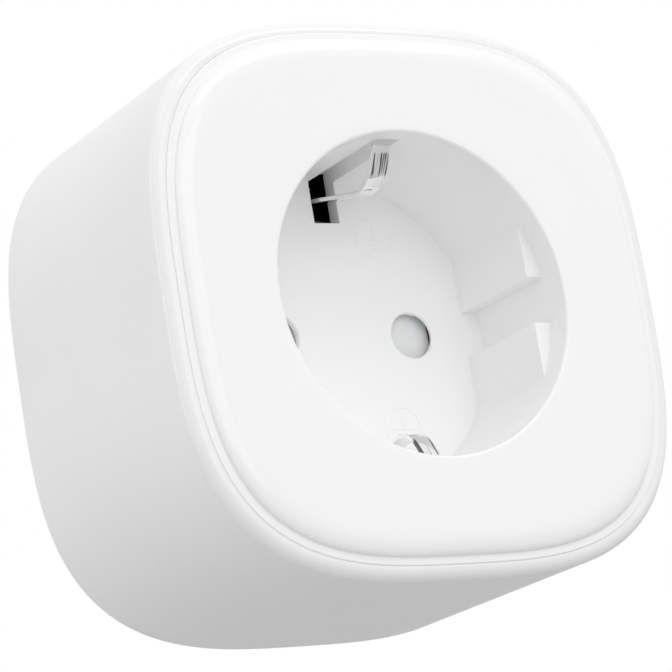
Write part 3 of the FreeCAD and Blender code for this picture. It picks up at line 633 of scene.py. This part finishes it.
def board_finish(name, flatten):
    """Green solder resist over tracks and glass weave, with tinned pads."""
    material, tree, shader = finish(name, coat=0.3)
    print_layer = use(tree, printed_tracks, Flatten=flatten)
    skin = use(tree, moulded_grain, Grain=2500.0)
    resist = tinted(tree, skin["Tone"], (0.012, 0.10, 0.045), (0.016, 0.125, 0.055))
    tracked = tinted(tree, print_layer["Tracks"], resist, (0.035, 0.20, 0.075))
    tree.links.new(print_layer["Pads"], shader.inputs["Metallic"])
    height = plus(tree, times(tree, print_layer["Tracks"], 0.7), times(tree, print_layer["Weave"], 0.2))
    dress(tree, shader, tinted(tree, print_layer["Pads"], tracked, (0.72, 0.70, 0.66)),
          ranged(tree, skin["Polish"], 0.30, 0.40),
          plus(tree, height, print_layer["Pads"]), 0.03)
    return material


def winding_finish(name, pitch):
    """Enamelled copper wire, wound turn beside turn, with painted shade in the grooves between turns."""
    material, tree, shader = finish(name, metallic=1.0, coat=0.6)
    wire = use(tree, wound_wire, Pitch=pitch)
    toned = tinted(tree, wire["Tone"], (0.42, 0.13, 0.035), (0.66, 0.25, 0.08))
    # Painted shade: the colour darkens towards near black in the grooves between turns.
    painted_groove_shade = spread(tree, wire["Height"], 0.0, 0.5)
    dress(tree, shader, tinted(tree, painted_groove_shade, (0.10, 0.03, 0.01), toned),
          ranged(tree, wire["Tone"], 0.16, 0.26),
          wire["Height"], 0.08)
    return material


# pieces

def arc(steps):
    """Even shares of a quarter turn, both ends included."""
    return [pi / 2 * i / steps for i in range(steps + 1)]


def shell_outline(sizes):
    """The housing's section, from the seam's foot over the lip, down the side and back up inside."""
    front, rear, lip, back = (value / MM for value in
                              (sizes.front_half, sizes.rear_half, sizes.lip_round, sizes.rear_round))
    crest = LIP_CREST
    inner = COVER_BACK + 0.02

    def wide(depth):
        return front + (rear - front) * depth / BODY_DEPTH

    stations = [square(SHELL_SEAM, depth) for depth in (inner, crest + 0.10, crest + 0.05)]
    stations.append(square(SHELL_SEAM + 0.05, crest))
    for turn in arc(10):
        depth = crest + lip * (1 - cos(turn))
        stations.append(square(wide(depth), depth, lip * (1 - sin(turn)) - 0.02))
    foot = crest + lip
    last = BODY_DEPTH - back
    for i in range(1, 13):
        depth = foot + (last - foot) * i / 12
        stations.append(square(wide(depth), depth, -0.02))
    for turn in arc(8)[1:]:
        depth = last + back * sin(turn)
        stations.append(square(wide(depth), depth, back * (1 - cos(turn)) - 0.02))
    seat, ledge, wall = 30.9, 29.5, 31.6
    return stations + [
        square(seat + 0.2, BODY_DEPTH), square(seat, BODY_DEPTH - 0.15), square(seat, PLATE_FRONT),
        square(ledge, PLATE_FRONT), square(ledge, 37.95), square(wall, 37.95), square(wall, inner)]


def stadium(length, width, height, wider=0.0):
    """A round-ended outline lying flat at a height, at the button's depth."""
    reach = (length - width) / 2
    radius = width / 2 + wider

    def corner(turn):
        end = reach if cos(turn) >= 0 else -reach
        return Vector((end + radius * cos(turn), BUTTON_DEPTH + radius * sin(turn), height))
    return corner


def take_in(bm, other):
    """Adds a second, separate shape to the first."""
    mesh = bpy.data.meshes.new("added_shape")
    other.to_mesh(mesh)
    other.free()
    bm.from_mesh(mesh)
    bpy.data.meshes.remove(mesh)


def upright_lathe(bm, profile, x, steps=48):
    """A (radius, height) profile turned round an upright axis at the button's depth."""
    places = [(x + radius, BUTTON_DEPTH, height) for radius, height in profile]
    spun(bm, places, (x, BUTTON_DEPTH, 0), (0, 0, 1), steps)


class PLUG_OT_housing(bpy.types.Operator):
    """Make the one-piece housing with its glossy lip, button opening and light hole"""
    bl_idname = "smart_plug.housing"
    bl_label = "Housing"

    def execute(self, context):
        sizes = context.scene.plug_shell
        bm = hoop(shell_outline(sizes))
        flare = ((28.0, 0.0), (33.70, 0.0), (33.86, 0.06), (33.97, 0.2), (36.0, 0.4))
        openings = loft([stadium(12.5, 6.5, height, wider) for height, wider in flare])
        bm = combined(bm, openings, "DIFFERENCE")
        hole = bmesh.new()
        profile = [(0, 28), (1.25, 28), (1.25, 33.72), (1.32, 33.85), (1.45, 33.95), (1.7, 36), (0, 36)]
        upright_lathe(hole, profile, LIGHT_X)
        bm = combined(bm, hole, "DIFFERENCE")
        finished(bm, "housing_shell", housing_plastic("Housing plastic", sizes.colour),
                 ("main_shell",), crease=32)
        return {"FINISHED"}


def cover_stations(sizes):
    """The cover's section from the middle of the recess floor, out over the face, and back in behind."""
    foot, edge = sizes.pillow_half / MM, sizes.pillow_edge / MM
    recess, floor = sizes.recess_radius / MM, sizes.recess_depth / MM
    stations = [circle(radius, floor) for radius in (2.5, 7.0, 13.0, 16.5)]
    for turn in arc(3):
        stations.append(circle(recess - 0.3 + 0.3 * sin(turn), floor - 0.3 + 0.3 * cos(turn)))
    for depth in (15.0, 11.0, 7.0, 3.0):
        stations.append(circle(recess, depth))
    for turn in reversed(arc(5)):
        stations.append(circle(recess + 0.4 * (1 - sin(turn)), 0.4 * (1 - cos(turn))))
    mouth = circle(recess + 0.4, 0.0)
    rise = square(foot - edge, 0.0)
    for share in (0.12, 0.35, 0.6, 0.85):
        stations.append(between(mouth, rise, share))
    for turn in reversed(arc(12)):
        stations.append(square(foot - edge * (1 - cos(turn)), 1.0 * (1 - sin(turn))))
    stations += [square(foot + 0.03, 1.06), square(foot + 0.10, 1.11), square(foot + 0.20, 1.13),
                 square(32.16, 1.13), square(32.24, 1.14), square(32.29, 1.17), square(32.30, 1.20),
                 square(COVER_EDGE, 1.215), square(COVER_EDGE, COVER_BACK)]
    back = circle(CUP_R, COVER_BACK)
    stations += [between(square(COVER_EDGE, COVER_BACK), back, share) for share in (0.35, 0.7)]
    return stations + [back, circle(CUP_R, FLOOR_BACK - 0.2), circle(CUP_R - 0.2, FLOOR_BACK),
                       circle(RELIEF_R, FLOOR_BACK), circle(RELIEF_R, RELIEF_FRONT),
                       circle(2.0, RELIEF_FRONT), circle(2.0, 24.4), circle(1.8, 24.6)]


def guide_pad(bm, side, up, sizes):
    """A flat on the side of the recess, above or below the guide groove."""
    floor = sizes.recess_depth / MM
    pad = bmesh.new()
    bmesh.ops.create_circle(pad, cap_ends=True, radius=sizes.recess_radius / MM + 0.8, segments=AROUND,
                            matrix=Matrix.Rotation(pi / 2, 4, "X"))
    for place, away in (((side * FLAT_X, 0, 0), (-side, 0, 0)), ((0, 0, up * GROOVE_HALF), (0, 0, -up))):
        bmesh.ops.bisect_plane(pad, geom=pad.verts[:] + pad.edges[:] + pad.faces[:], plane_co=place,
                               plane_no=away, clear_outer=True)
    bmesh.ops.translate(pad, vec=(0, FLAT_FRONT, 0), verts=pad.verts)
    grown(pad, pad.faces[:], (0, floor + 0.7 - FLAT_FRONT, 0))
    outward(pad)

    def soft(edge):
        on_flat = all(abs(v.co.x - side * FLAT_X) < 1e-4 for v in edge.verts)
        in_front = all(v.co.y < FLAT_FRONT + 0.01 for v in edge.verts)
        on_groove = all(abs(v.co.z - up * GROOVE_HALF) < 1e-4 for v in edge.verts)
        return (on_flat and in_front) or (on_groove and in_front) or (on_flat and on_groove)

    eased(pad, [e for e in pad.edges if soft(e)], 0.22, 3)
    take_in(bm, pad)


def clip_channel(bm, up):
    """The space for an earth clip: a groove in the wall that becomes a slot through the floor."""
    outline = [(2.8, 21.3), (21.6, 21.3), (21.6, 14.35), (17.9, 14.35), (17.9, 17.6), (2.8, 17.6)]
    corners = [bm.verts.new((-1.8, depth, up * z)) for depth, z in outline]
    grown(bm, [bm.faces.new(corners)], (3.6, 0, 0))


def earth_mark(bm, x, z):
    """A small raised earth symbol in a ring, standing on the recess floor."""
    top, foot = 18.41, 18.6
    lathe(bm, [(2.35, foot), (2.38, top + 0.02), (2.42, top), (2.58, top), (2.62, top + 0.02), (2.65, foot),
               (2.35, foot)], x, z, 56)
    slab(bm, (x - 0.12, x + 0.12), (top, foot), (z - 0.05, z + 1.7), 0.04)
    for i, reach in enumerate((1.45, 0.95, 0.45)):
        low = z - 0.25 - i * 0.6
        slab(bm, (x - reach, x + reach), (top, foot), (low, low + 0.24), 0.04)


class PLUG_OT_front_cover(bpy.types.Operator):
    """Make the glossy front cover with its socket recess, guides, clip channels, pin holes and bosses"""
    bl_idname = "smart_plug.front_cover"
    bl_label = "Front cover"

    def execute(self, context):
        sizes = context.scene.plug_cover
        bm = loft(cover_stations(sizes))
        added = bmesh.new()
        for side in (-1, 1):
            for up in (-1, 1):
                guide_pad(added, side, up, sizes)
        for up in (-1, 1):
            slab(added, (-3.2, 3.2), (2.4, 20.4), (up * 20.4, up * 22.3))
        bm = combined(bm, added, "UNION")
        cuts = bmesh.new()
        pin_hole = [(0, 17.5), (3.02, 17.5), (3.02, 18.48), (2.94, 18.54), (2.85, 18.68), (2.85, 21), (0, 21)]
        for up in (-1, 1):
            clip_channel(cuts, up)
        for x in (-PIN_X, PIN_X):
            lathe(cuts, pin_hole, x)
        outward(cuts)
        bm = combined(bm, cuts, "DIFFERENCE")
        hollows = bmesh.new()
        for side in (-1, 1):
            slab(hollows, (side * 10.6, side * 16.1), (18.93, 21.1), (-4.1, 4.1))
        outward(hollows)
        bm = combined(bm, hollows, "DIFFERENCE")
        for x, z in SCREWS:
            tube(bm, 3.0, 1.45, (3.0, 36.6), x, z)
        for sign in (-1, 1):
            tube(bm, 1.7, 0.9, (20.4, 24.6), sign * 10.6, sign * 10.6)
        earth_mark(bm, 6.3, 12.4)
        earth_mark(bm, 6.1, -11.6)
        finished(bm, "front_cover_face", cover_plastic("Front cover plastic", sizes.colour),
                 ("front_cover",), crease=32)
        return {"FINISHED"}


def nose_stations():
    """The rear cover's section from the middle of the nose's cavity to the middle of its end face."""
    stations = [circle(radius, 56.5) for radius in (2.0, 8.0, CAVITY_R)] + [circle(CAVITY_R, PLATE_FRONT)]
    plate = square(PLATE_HALF, PLATE_FRONT)
    stations += [between(circle(CAVITY_R, PLATE_FRONT), plate, 0.5), plate, square(PLATE_HALF, 41.75),
                 square(PLATE_HALF, 41.93, 0.07), square(PLATE_HALF, BODY_DEPTH, 0.25)]
    foot = circle(NOSE_FOOT_R, BODY_DEPTH)
    stations += [between(square(PLATE_HALF - 0.25, BODY_DEPTH), foot, share) for share in (0.33, 0.66)]
    for turn in arc(3):
        stations.append(circle(NOSE_FOOT_R - 0.3 * sin(turn), BODY_DEPTH + 0.3 * (1 - cos(turn))))
    side = NOSE_FOOT_R - 0.3
    stations += [circle(side, depth) for depth in (47.0, 53.0, 58.1)]
    stations += [circle(side - 0.04, 58.26), circle(18.0, 58.93)]
    return stations + [circle(radius, NOSE_END) for radius in (17.85, 14.0, 8.0, 2.0)]


class PLUG_OT_rear_cover(bpy.types.Operator):
    """Make the rear cover with its round plug nose, side flats, earth channels and screw wells"""
    bl_idname = "smart_plug.rear_cover"
    bl_label = "Rear cover"

    def execute(self, context):
        bm = loft(nose_stations())
        added = bmesh.new()
        for up in (-1, 1):
            slab(added, (-4.5, 4.5), (39.6, 56.8), (up * 14.2, up * 15.6))
        bm = combined(bm, added, "UNION")
        flats = bmesh.new()
        for side in (-1, 1):
            for up in (-1, 1):
                slab(flats, (side * 16.8, side * 20), (42.0, 60), (up * 2.55, up * 12))
        bm = combined(bm, flats, "DIFFERENCE")
        wells = bmesh.new()
        well = [(0, 38), (1.7, 38), (1.7, 40.1), (2.9, 40.1), (2.9, 41.8), (2.96, 41.93), (3.1, 42.02),
                (3.3, 43), (0, 43)]
        for up in (-1, 1):
            slab(wells, (-2.6, 2.6), (42.02, 57.8), (up * 15.7, up * 20))
        for x in (-PIN_X, PIN_X):
            rod(wells, 2.6, (55.5, 60), x)
        for x, z in SCREWS:
            lathe(wells, well, x, z, 48)
        outward(wells)
        bm = combined(bm, wells, "DIFFERENCE")
        slots = bmesh.new()
        for up in (-1, 1):
            slab(slots, (-2.1, 2.1), (38.5, 43), (up * 15.75, up * 16.4))
        bm = combined(bm, slots, "DIFFERENCE")
        for sign in (-1, 1):
            tube(bm, 1.9, 0.9, (53.4, 56.6), 0, sign * 9.5)
        colour = context.scene.plug_shell.colour
        plastic = moulded("Rear cover plastic", shade(colour, 0.97), (0.42, 0.52), 4200.0, 0.008)
        finished(bm, "rear_cover_nose", plastic, ("rear_cover",), crease=32)
        return {"FINISHED"}


def section(bm, width, gauge, place):
    """A strip's cross section with rounded corners, standing across the depth axis."""
    made = bmesh.ops.create_grid(bm, x_segments=1, y_segments=1, size=0.5)["verts"]
    bmesh.ops.scale(bm, vec=(width, gauge, 1), verts=made)
    eased(bm, made, 0.13, 3, "VERTICES")
    bmesh.ops.rotate(bm, cent=(0, 0, 0), matrix=Matrix.Rotation(pi / 2, 3, "X"), verts=bm.verts)
    bmesh.ops.translate(bm, vec=place, verts=bm.verts)
    return next(iter(bm.faces))


def carried(bm, face, matrix, first=False):
    """Extrudes a face and moves its copy; the old face goes unless it is the strip's end."""
    made = bmesh.ops.extrude_face_region(bm, geom=[face])["geom"]
    corners = [g for g in made if isinstance(g, bmesh.types.BMVert)]
    fresh = next(g for g in made if isinstance(g, bmesh.types.BMFace))
    if face.is_valid and not first:
        bmesh.ops.delete(bm, geom=[face], context="FACES_ONLY")
    bmesh.ops.transform(bm, matrix=matrix, verts=corners)
    return fresh


def about(centre, matrix):
    """A matrix that works round a centre."""
    return Matrix.Translation(centre) @ matrix @ Matrix.Translation(-centre)


def bent_strip(bm, face, route, radii, steps):
    """Carries a section along straight runs and round bends in the plane of depth and height."""
    here = route[0]
    for i in range(1, len(route) - 1):
        back = (route[i - 1] - route[i]).normalized()
        ahead = (route[i + 1] - route[i]).normalized()
        half = back.angle(ahead) / 2
        reach = radii[i - 1] / tan(half)
        entry = route[i] + back * reach
        centre = route[i] + (back + ahead).normalized() * radii[i - 1] / sin(half)
        face = carried(bm, face, Matrix.Translation(entry - here), first=i == 1)
        swing = pi - 2 * half
        turned = 1 if back.cross(ahead).x < 0 else -1
        step = about(centre, Matrix.Rotation(turned * swing / steps, 4, "X"))
        for _ in range(steps):
            face = carried(bm, face, step)
        here = route[i] + ahead * reach
    return carried(bm, face, Matrix.Translation(route[-1] - here))


def rounded_tip(bm, face, along, gauge):
    """Closes a strip with a half-round tip."""
    up = Vector((1, 0, 0)).cross(along).normalized()
    turn = Matrix((Vector((1, 0, 0)), along, up)).transposed().to_4x4()
    last, thick = 0.0, 1.0
    for angle in arc(4)[1:]:
        out = gauge / 2 * sin(angle)
        slim = max(cos(angle), 0.12)
        centre = face.calc_center_median()
        shrink = Matrix.Diagonal((1 - 0.02 * sin(angle), 1, slim / thick, 1))
        step = about(centre, turn @ shrink @ turn.inverted())
        face = carried(bm, face, Matrix.Translation(along * (out - last)) @ step)
        last, thick = out, slim


class PLUG_OT_earth_clips(bpy.types.Operator):
    """Make the two sprung earth clips of the socket side"""
    bl_idname = "smart_plug.earth_clips"
    bl_label = "Earth clips"

    def execute(self, context):
        metal = context.scene.plug_metal
        gauge = metal.clip_gauge / MM
        material = clip_metal("Nickel strip", metal.nickel)
        route = [Vector((0, *corner)) for corner in CLIP_ROUTE]
        for body, mirror in (("clip_top", 1), ("clip_bottom", -1)):
            name = "earth_" + body
            bm = bmesh.new()
            face = section(bm, metal.clip_width / MM, gauge, route[0])
            face = bent_strip(bm, face, route, CLIP_BENDS, 16)
            rounded_tip(bm, face, (route[-1] - route[-2]).normalized(), gauge)
            bmesh.ops.scale(bm, vec=(1, 1, mirror), verts=bm.verts)
            outward(bm)
            finished(bm, name + "_strip", material, (name,), body, crease=50)
        return {"FINISHED"}


class PLUG_OT_pins(bpy.types.Operator):
    """Make the two turned plug pins"""
    bl_idname = "smart_plug.pins"
    bl_label = "Plug pins"

    def execute(self, context):
        nickel = shade(context.scene.plug_metal.nickel, 0.84)
        material = plated("Nickel plated pin", nickel, (0.12, 0.22), (500.0, 4500.0, 500.0), 0.0012)
        tip = [(0.0, 78.0), (0.6, 78.0)]
        tip += [(0.6 + 1.8 * sin(turn), 76.2 + 1.8 * cos(turn)) for turn in arc(8)[1:]]
        root = [(2.4, 68.0), (2.4, 59.0), (2.5, 58.98), (2.58, 58.9), (2.58, 56.5), (3.4, 56.5), (3.5, 56.4),
                (3.5, 53.5), (3.4, 53.4), (1.5, 53.4), (1.5, 46.15), (1.35, 46.0), (0.0, 46.0)]
        for name, x in (("plug_pin_left", -PIN_X), ("plug_pin_right", PIN_X)):
            bm = bmesh.new()
            lathe(bm, tip + root, x, 0.0, 72)
            finished(bm, name + "_turned", material, (name,), crease=40)
        return {"FINISHED"}


class PLUG_OT_side_contacts(bpy.types.Operator):
    """Make the nose's earth strips and the housing screws with eased edges"""
    bl_idname = "smart_plug.side_contacts"
    bl_label = "Side contacts and screws"

    def execute(self, context):
        strip = plated("Nickel side strip", context.scene.plug_metal.nickel, (0.10, 0.2))
        for name in ("rear_earth_contact_top", "rear_earth_contact_bottom"):
            softened_copy(name, name + "_strip", strip, 0.12)
        zinc = plated("Zinc plated screw", (0.62, 0.63, 0.65), (0.29, 0.40), (1500.0, 1500.0, 1500.0), 0.002)
        softened_copy("housing_screws", "housing_screw_set", zinc, 0.06)
        return {"FINISHED"}


class PLUG_OT_button_and_light(bpy.types.Operator):
    """Make the power button with its soft crown and the clear light guide"""
    bl_idname = "smart_plug.button_and_light"
    bl_label = "Button and light"

    def execute(self, context):
        crown = ((31.2, 0.0), (33.75, 0.0), (33.93, -0.04), (34.08, -0.14), (34.18, -0.28), (34.22, -0.6),
                 (34.25, -1.2))
        bm = loft([stadium(12.0, 6.0, height, wider) for height, wider in crown])
        rim = ((30.3, 0.0), (31.1, 0.0), (31.2, -0.1))
        flange = loft([stadium(13.6, 7.6, height, wider) for height, wider in rim])
        upright_lathe(bm, [(0, 30.0), (1.8, 30.0), (2.0, 30.2), (2.0, 30.35), (0, 30.35)], 0.0)
        take_in(bm, flange)
        plastic = moulded("Button plastic", (0.76, 0.765, 0.77), (0.37, 0.44), 4500.0, 0.004)
        finished(bm, "power_button_cap", plastic, ("power_button",), "button", crease=40)
        guide = bmesh.new()
        profile = [(0, 27.0), (1.8, 27.0), (1.9, 27.1), (1.9, 31.0), (1.8, 31.1), (1.2, 31.1), (1.2, 33.55),
                   (1.1, 33.66), (0.6, 33.7), (0, 33.7)]
        upright_lathe(guide, profile, LIGHT_X)
        clear = clear_plastic("Clear guide plastic", (0.93, 0.95, 0.96))
        finished(guide, "light_guide_rod", clear, ("light_guide",), crease=40)
        return {"FINISHED"}


# name, colour, roughness, grain, relief, variation of tone, coat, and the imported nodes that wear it
INNER_PLASTICS = (
    ("Shutter plastic", (0.86, 0.865, 0.87), (0.34, 0.44), 3800.0, 0.006, 0.03, 0.0, "safety_shutter"),
    ("Carrier plastic", (0.42, 0.43, 0.44), (0.45, 0.55), 3500.0, 0.010, 0.03, 0.0, "contact_carrier pin_holder"),
    ("Relay plastic", (0.028, 0.045, 0.085), (0.30, 0.42), 3000.0, 0.006, 0.12, 0.0, "relay_case relay_base"),
    ("Bobbin plastic", (0.72, 0.68, 0.56), (0.4, 0.5), 3000.0, 0.006, 0.03, 0.0, "relay_bobbin"),
    ("Varistor coat", (0.05, 0.15, 0.46), (0.15, 0.24), 900.0, 0.030, 0.15, 0.0, "varistor"),
    ("Film box plastic", (0.72, 0.56, 0.07), (0.35, 0.46), 3200.0, 0.008, 0.03, 0.0, "interference_capacitor"),
    ("Can sleeve", (0.03, 0.03, 0.036), (0.16, 0.26), 1200.0, 0.006, 0.15, 0.4, "smoothing_capacitors"),
    ("Ferrite", (0.06, 0.058, 0.056), (0.48, 0.62), 2500.0, 0.020, 0.25, 0.0, "filter_choke_core"),
    ("Chip moulding", (0.022, 0.022, 0.023), (0.50, 0.62), 6000.0, 0.010, 0.2, 0.0,
     "bridge_rectifier power_chip metering_chip"),
    ("Small part ceramic", (0.20, 0.16, 0.12), (0.4, 0.55), 4000.0, 0.008, 0.2, 0.0, "small_parts"),
    ("Cement coat", (0.36, 0.45, 0.38), (0.5, 0.65), 1800.0, 0.020, 0.1, 0.0, "fusible_resistor"),
    ("Switch body plastic", (0.03, 0.03, 0.03), (0.4, 0.5), 4200.0, 0.006, 0.15, 0.0, "tact_switch_body"),
    ("Plunger plastic", (0.68, 0.68, 0.65), (0.35, 0.45), 4200.0, 0.005, 0.03, 0.0, "tact_switch_plunger"),
    ("Lamp resin", (0.86, 0.80, 0.52), (0.12, 0.2), 3000.0, 0.003, 0.03, 0.5, "status_light"),
)
# name, colour, roughness, stretch of the rolling lines, relief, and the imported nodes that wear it
INNER_METALS = (
    ("Spring steel", (0.66, 0.66, 0.67), (0.15, 0.26), (900.0, 900.0, 900.0), 0.001,
     "shutter_spring contact_clamp_left contact_clamp_right"),
    ("Copper alloy strip", (0.80, 0.50, 0.30), (0.16, 0.26), (3500.0, 150.0, 3500.0), 0.002,
     "earth_bridge line_strap neutral_strap load_busbar"),
    ("Contact brass", (0.80, 0.64, 0.34), (0.15, 0.26), (3500.0, 150.0, 3500.0), 0.002,
     "socket_contact_left socket_contact_right relay_fixed_contact"),
    ("Small screw steel", (0.58, 0.59, 0.60), (0.29, 0.4), (1500.0, 1500.0, 1500.0), 0.002,
     "carrier_screws pin_holder_screws"),
    ("Plated soft iron", (0.52, 0.52, 0.51), (0.30, 0.42), (1800.0, 300.0, 1800.0), 0.003,
     "relay_frame relay_armature"),
    ("Shunt strip", (0.60, 0.54, 0.48), (0.3, 0.45), (300.0, 300.0, 3500.0), 0.002, "current_shunt"),
    ("Tinned shield", (0.70, 0.70, 0.69), (0.16, 0.26), (2500.0, 200.0, 2500.0), 0.002, "radio_shield"),
    ("Aerial copper", (0.82, 0.56, 0.32), (0.3, 0.42), (900.0, 900.0, 900.0), 0.001, "radio_antenna"),
)


def inner_finishes():
    """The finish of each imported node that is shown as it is."""
    worn = {}
    for *made, variation, coat, nodes in INNER_PLASTICS:
        worn.update(dict.fromkeys(nodes.split(), moulded(*made, variation=variation, coat=coat)))
    for *made, nodes in INNER_METALS:
        worn.update(dict.fromkeys(nodes.split(), plated(*made)))
    worn["relay_winding"] = worn["filter_choke_winding"] = winding_finish("Enamelled wire", 4200.0)
    worn["main_board"] = board_finish("Main board laminate", (1.0, 0.0, 1.0))
    worn["radio_board"] = board_finish("Radio board laminate", (1.0, 1.0, 0.0))
    return worn


class PLUG_OT_inner_finishes(bpy.types.Operator):
    """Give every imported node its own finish"""
    bl_idname = "smart_plug.inner_finishes"
    bl_label = "Inner finishes"

    def execute(self, context):
        for node, material in inner_finishes().items():
            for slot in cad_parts[node].material_slots:
                slot.material = material
        return {"FINISHED"}


def soft_light(name, place, towards, size, power):
    """An oblong area light that faces a point."""
    lamp = bpy.data.lights.new(name, "AREA")
    lamp.shape = "RECTANGLE"
    lamp.size, lamp.size_y = size
    lamp.energy = power
    light = bpy.data.objects.new(name, lamp)
    light.location = place
    light.rotation_euler = (Vector(towards) - Vector(place)).to_track_quat("-Z", "Y").to_euler()
    bpy.context.scene.collection.objects.link(light)


class PLUG_OT_studio(bpy.types.Operator):
    """Set up the camera, the soft lights, the white surround and the pale floor"""
    bl_idname = "smart_plug.studio"
    bl_label = "Studio"

    def execute(self, context):
        scene = context.scene
        studio = scene.plug_studio
        scene.view_settings.view_transform = "Standard"
        lens = bpy.data.cameras.new("camera")
        lens.lens = CAMERA_LENS
        lens.sensor_width = 36.0
        lens.clip_start = 0.02
        camera = bpy.data.objects.new("camera", lens)
        turn = Matrix((CAMERA_RIGHT, CAMERA_UP, CAMERA_RIGHT.cross(CAMERA_UP))).transposed().to_4x4()
        camera.matrix_world = Matrix.Translation(CAMERA_PLACE) @ turn
        scene.collection.objects.link(camera)
        scene.camera = camera

        world = bpy.data.worlds.new("surround")
        world.use_nodes = True
        scene.world = world
        tree = world.node_tree
        light = tree.nodes["Background"]
        light.inputs["Strength"].default_value = studio.surround
        white = tree.nodes.new("ShaderNodeBackground")
        mix = tree.nodes.new("ShaderNodeMixShader")
        tree.links.new(tree.nodes.new("ShaderNodeLightPath").outputs["Is Camera Ray"], mix.inputs["Fac"])
        light.inputs["Color"].default_value = (1, 1, 1, 1)
        white.inputs["Color"].default_value = (1, 1, 1, 1)
        tree.links.new(light.outputs[0], mix.inputs[1])
        tree.links.new(white.outputs[0], mix.inputs[2])
        tree.links.new(mix.outputs[0], tree.nodes["World Output"].inputs["Surface"])

        middle = (0, -0.03, 0)
        soft_light("front_light", (-0.1, -1.17, 0.28), middle, (0.8, 0.8), studio.key_power)
        soft_light("left_strip", (-1.1, 0.25, 0.3), middle, (0.08, 1.0), studio.key_power * 0.55)
        soft_light("high_light", (0.35, -0.85, 0.95), middle, (0.9, 0.4), studio.key_power)
        scene.cycles.diffuse_bounces = 12
        scene.cycles.max_bounces = 16

        floor = bmesh.new()
        bmesh.ops.create_grid(floor, x_segments=1, y_segments=1, size=4.0,
                              matrix=Matrix.Translation((0, 0, studio.floor_height)))
        stage_floor = as_object(floor, "studio_floor")
        paper, tree, shader = finish("Studio paper")
        skin = use(tree, moulded_grain, Grain=900.0, Patch=3.0)
        colour = tuple(studio.floor_colour)
        toned = tinted(tree, skin["Tone"], shade(colour, 0.985), shade(colour, 1.01))
        tree.links.new(toned, shader.inputs["Base Color"])
        shader.inputs["Roughness"].default_value = 0.75
        bumped(tree, shader, skin["Height"], 0.02)
        stage_floor.data.materials.append(paper)
        return {"FINISHED"}


class PLUG_PT_panel(bpy.types.Panel):
    """Lists the steps in the order they are made"""
    bl_idname = "PLUG_PT_panel"
    bl_label = "Smart Plug"
    bl_space_type = "VIEW_3D"
    bl_region_type = "UI"
    bl_category = "Smart Plug"

    def draw(self, context):
        for step in STEPS:
            self.layout.operator(step.bl_idname)
        for label in SETTINGS:
            settings = getattr(context.scene, label)
            box = self.layout.box()
            for name in type(settings).__annotations__:
                box.prop(settings, name)


STEPS = (PLUG_OT_studio, PLUG_OT_housing, PLUG_OT_front_cover, PLUG_OT_rear_cover, PLUG_OT_earth_clips,
         PLUG_OT_pins, PLUG_OT_side_contacts, PLUG_OT_button_and_light, PLUG_OT_inner_finishes)
SETTINGS = {
    "plug_shell": ShellSettings,
    "plug_cover": CoverSettings,
    "plug_metal": MetalSettings,
    "plug_studio": StudioSettings,
}


def register():
    for cls in (*SETTINGS.values(), *STEPS, PLUG_PT_panel):
        bpy.utils.register_class(cls)
    for label, cls in SETTINGS.items():
        setattr(bpy.types.Scene, label, PointerProperty(type=cls))


def unregister():
    for label in SETTINGS:
        delattr(bpy.types.Scene, label)
    for cls in reversed((*SETTINGS.values(), *STEPS, PLUG_PT_panel)):
        bpy.utils.unregister_class(cls)


def main():
    register()
    for step in STEPS:
        _, name = step.bl_idname.split(".")
        getattr(bpy.ops.smart_plug, name)()


if __name__ == "__main__":
    main()
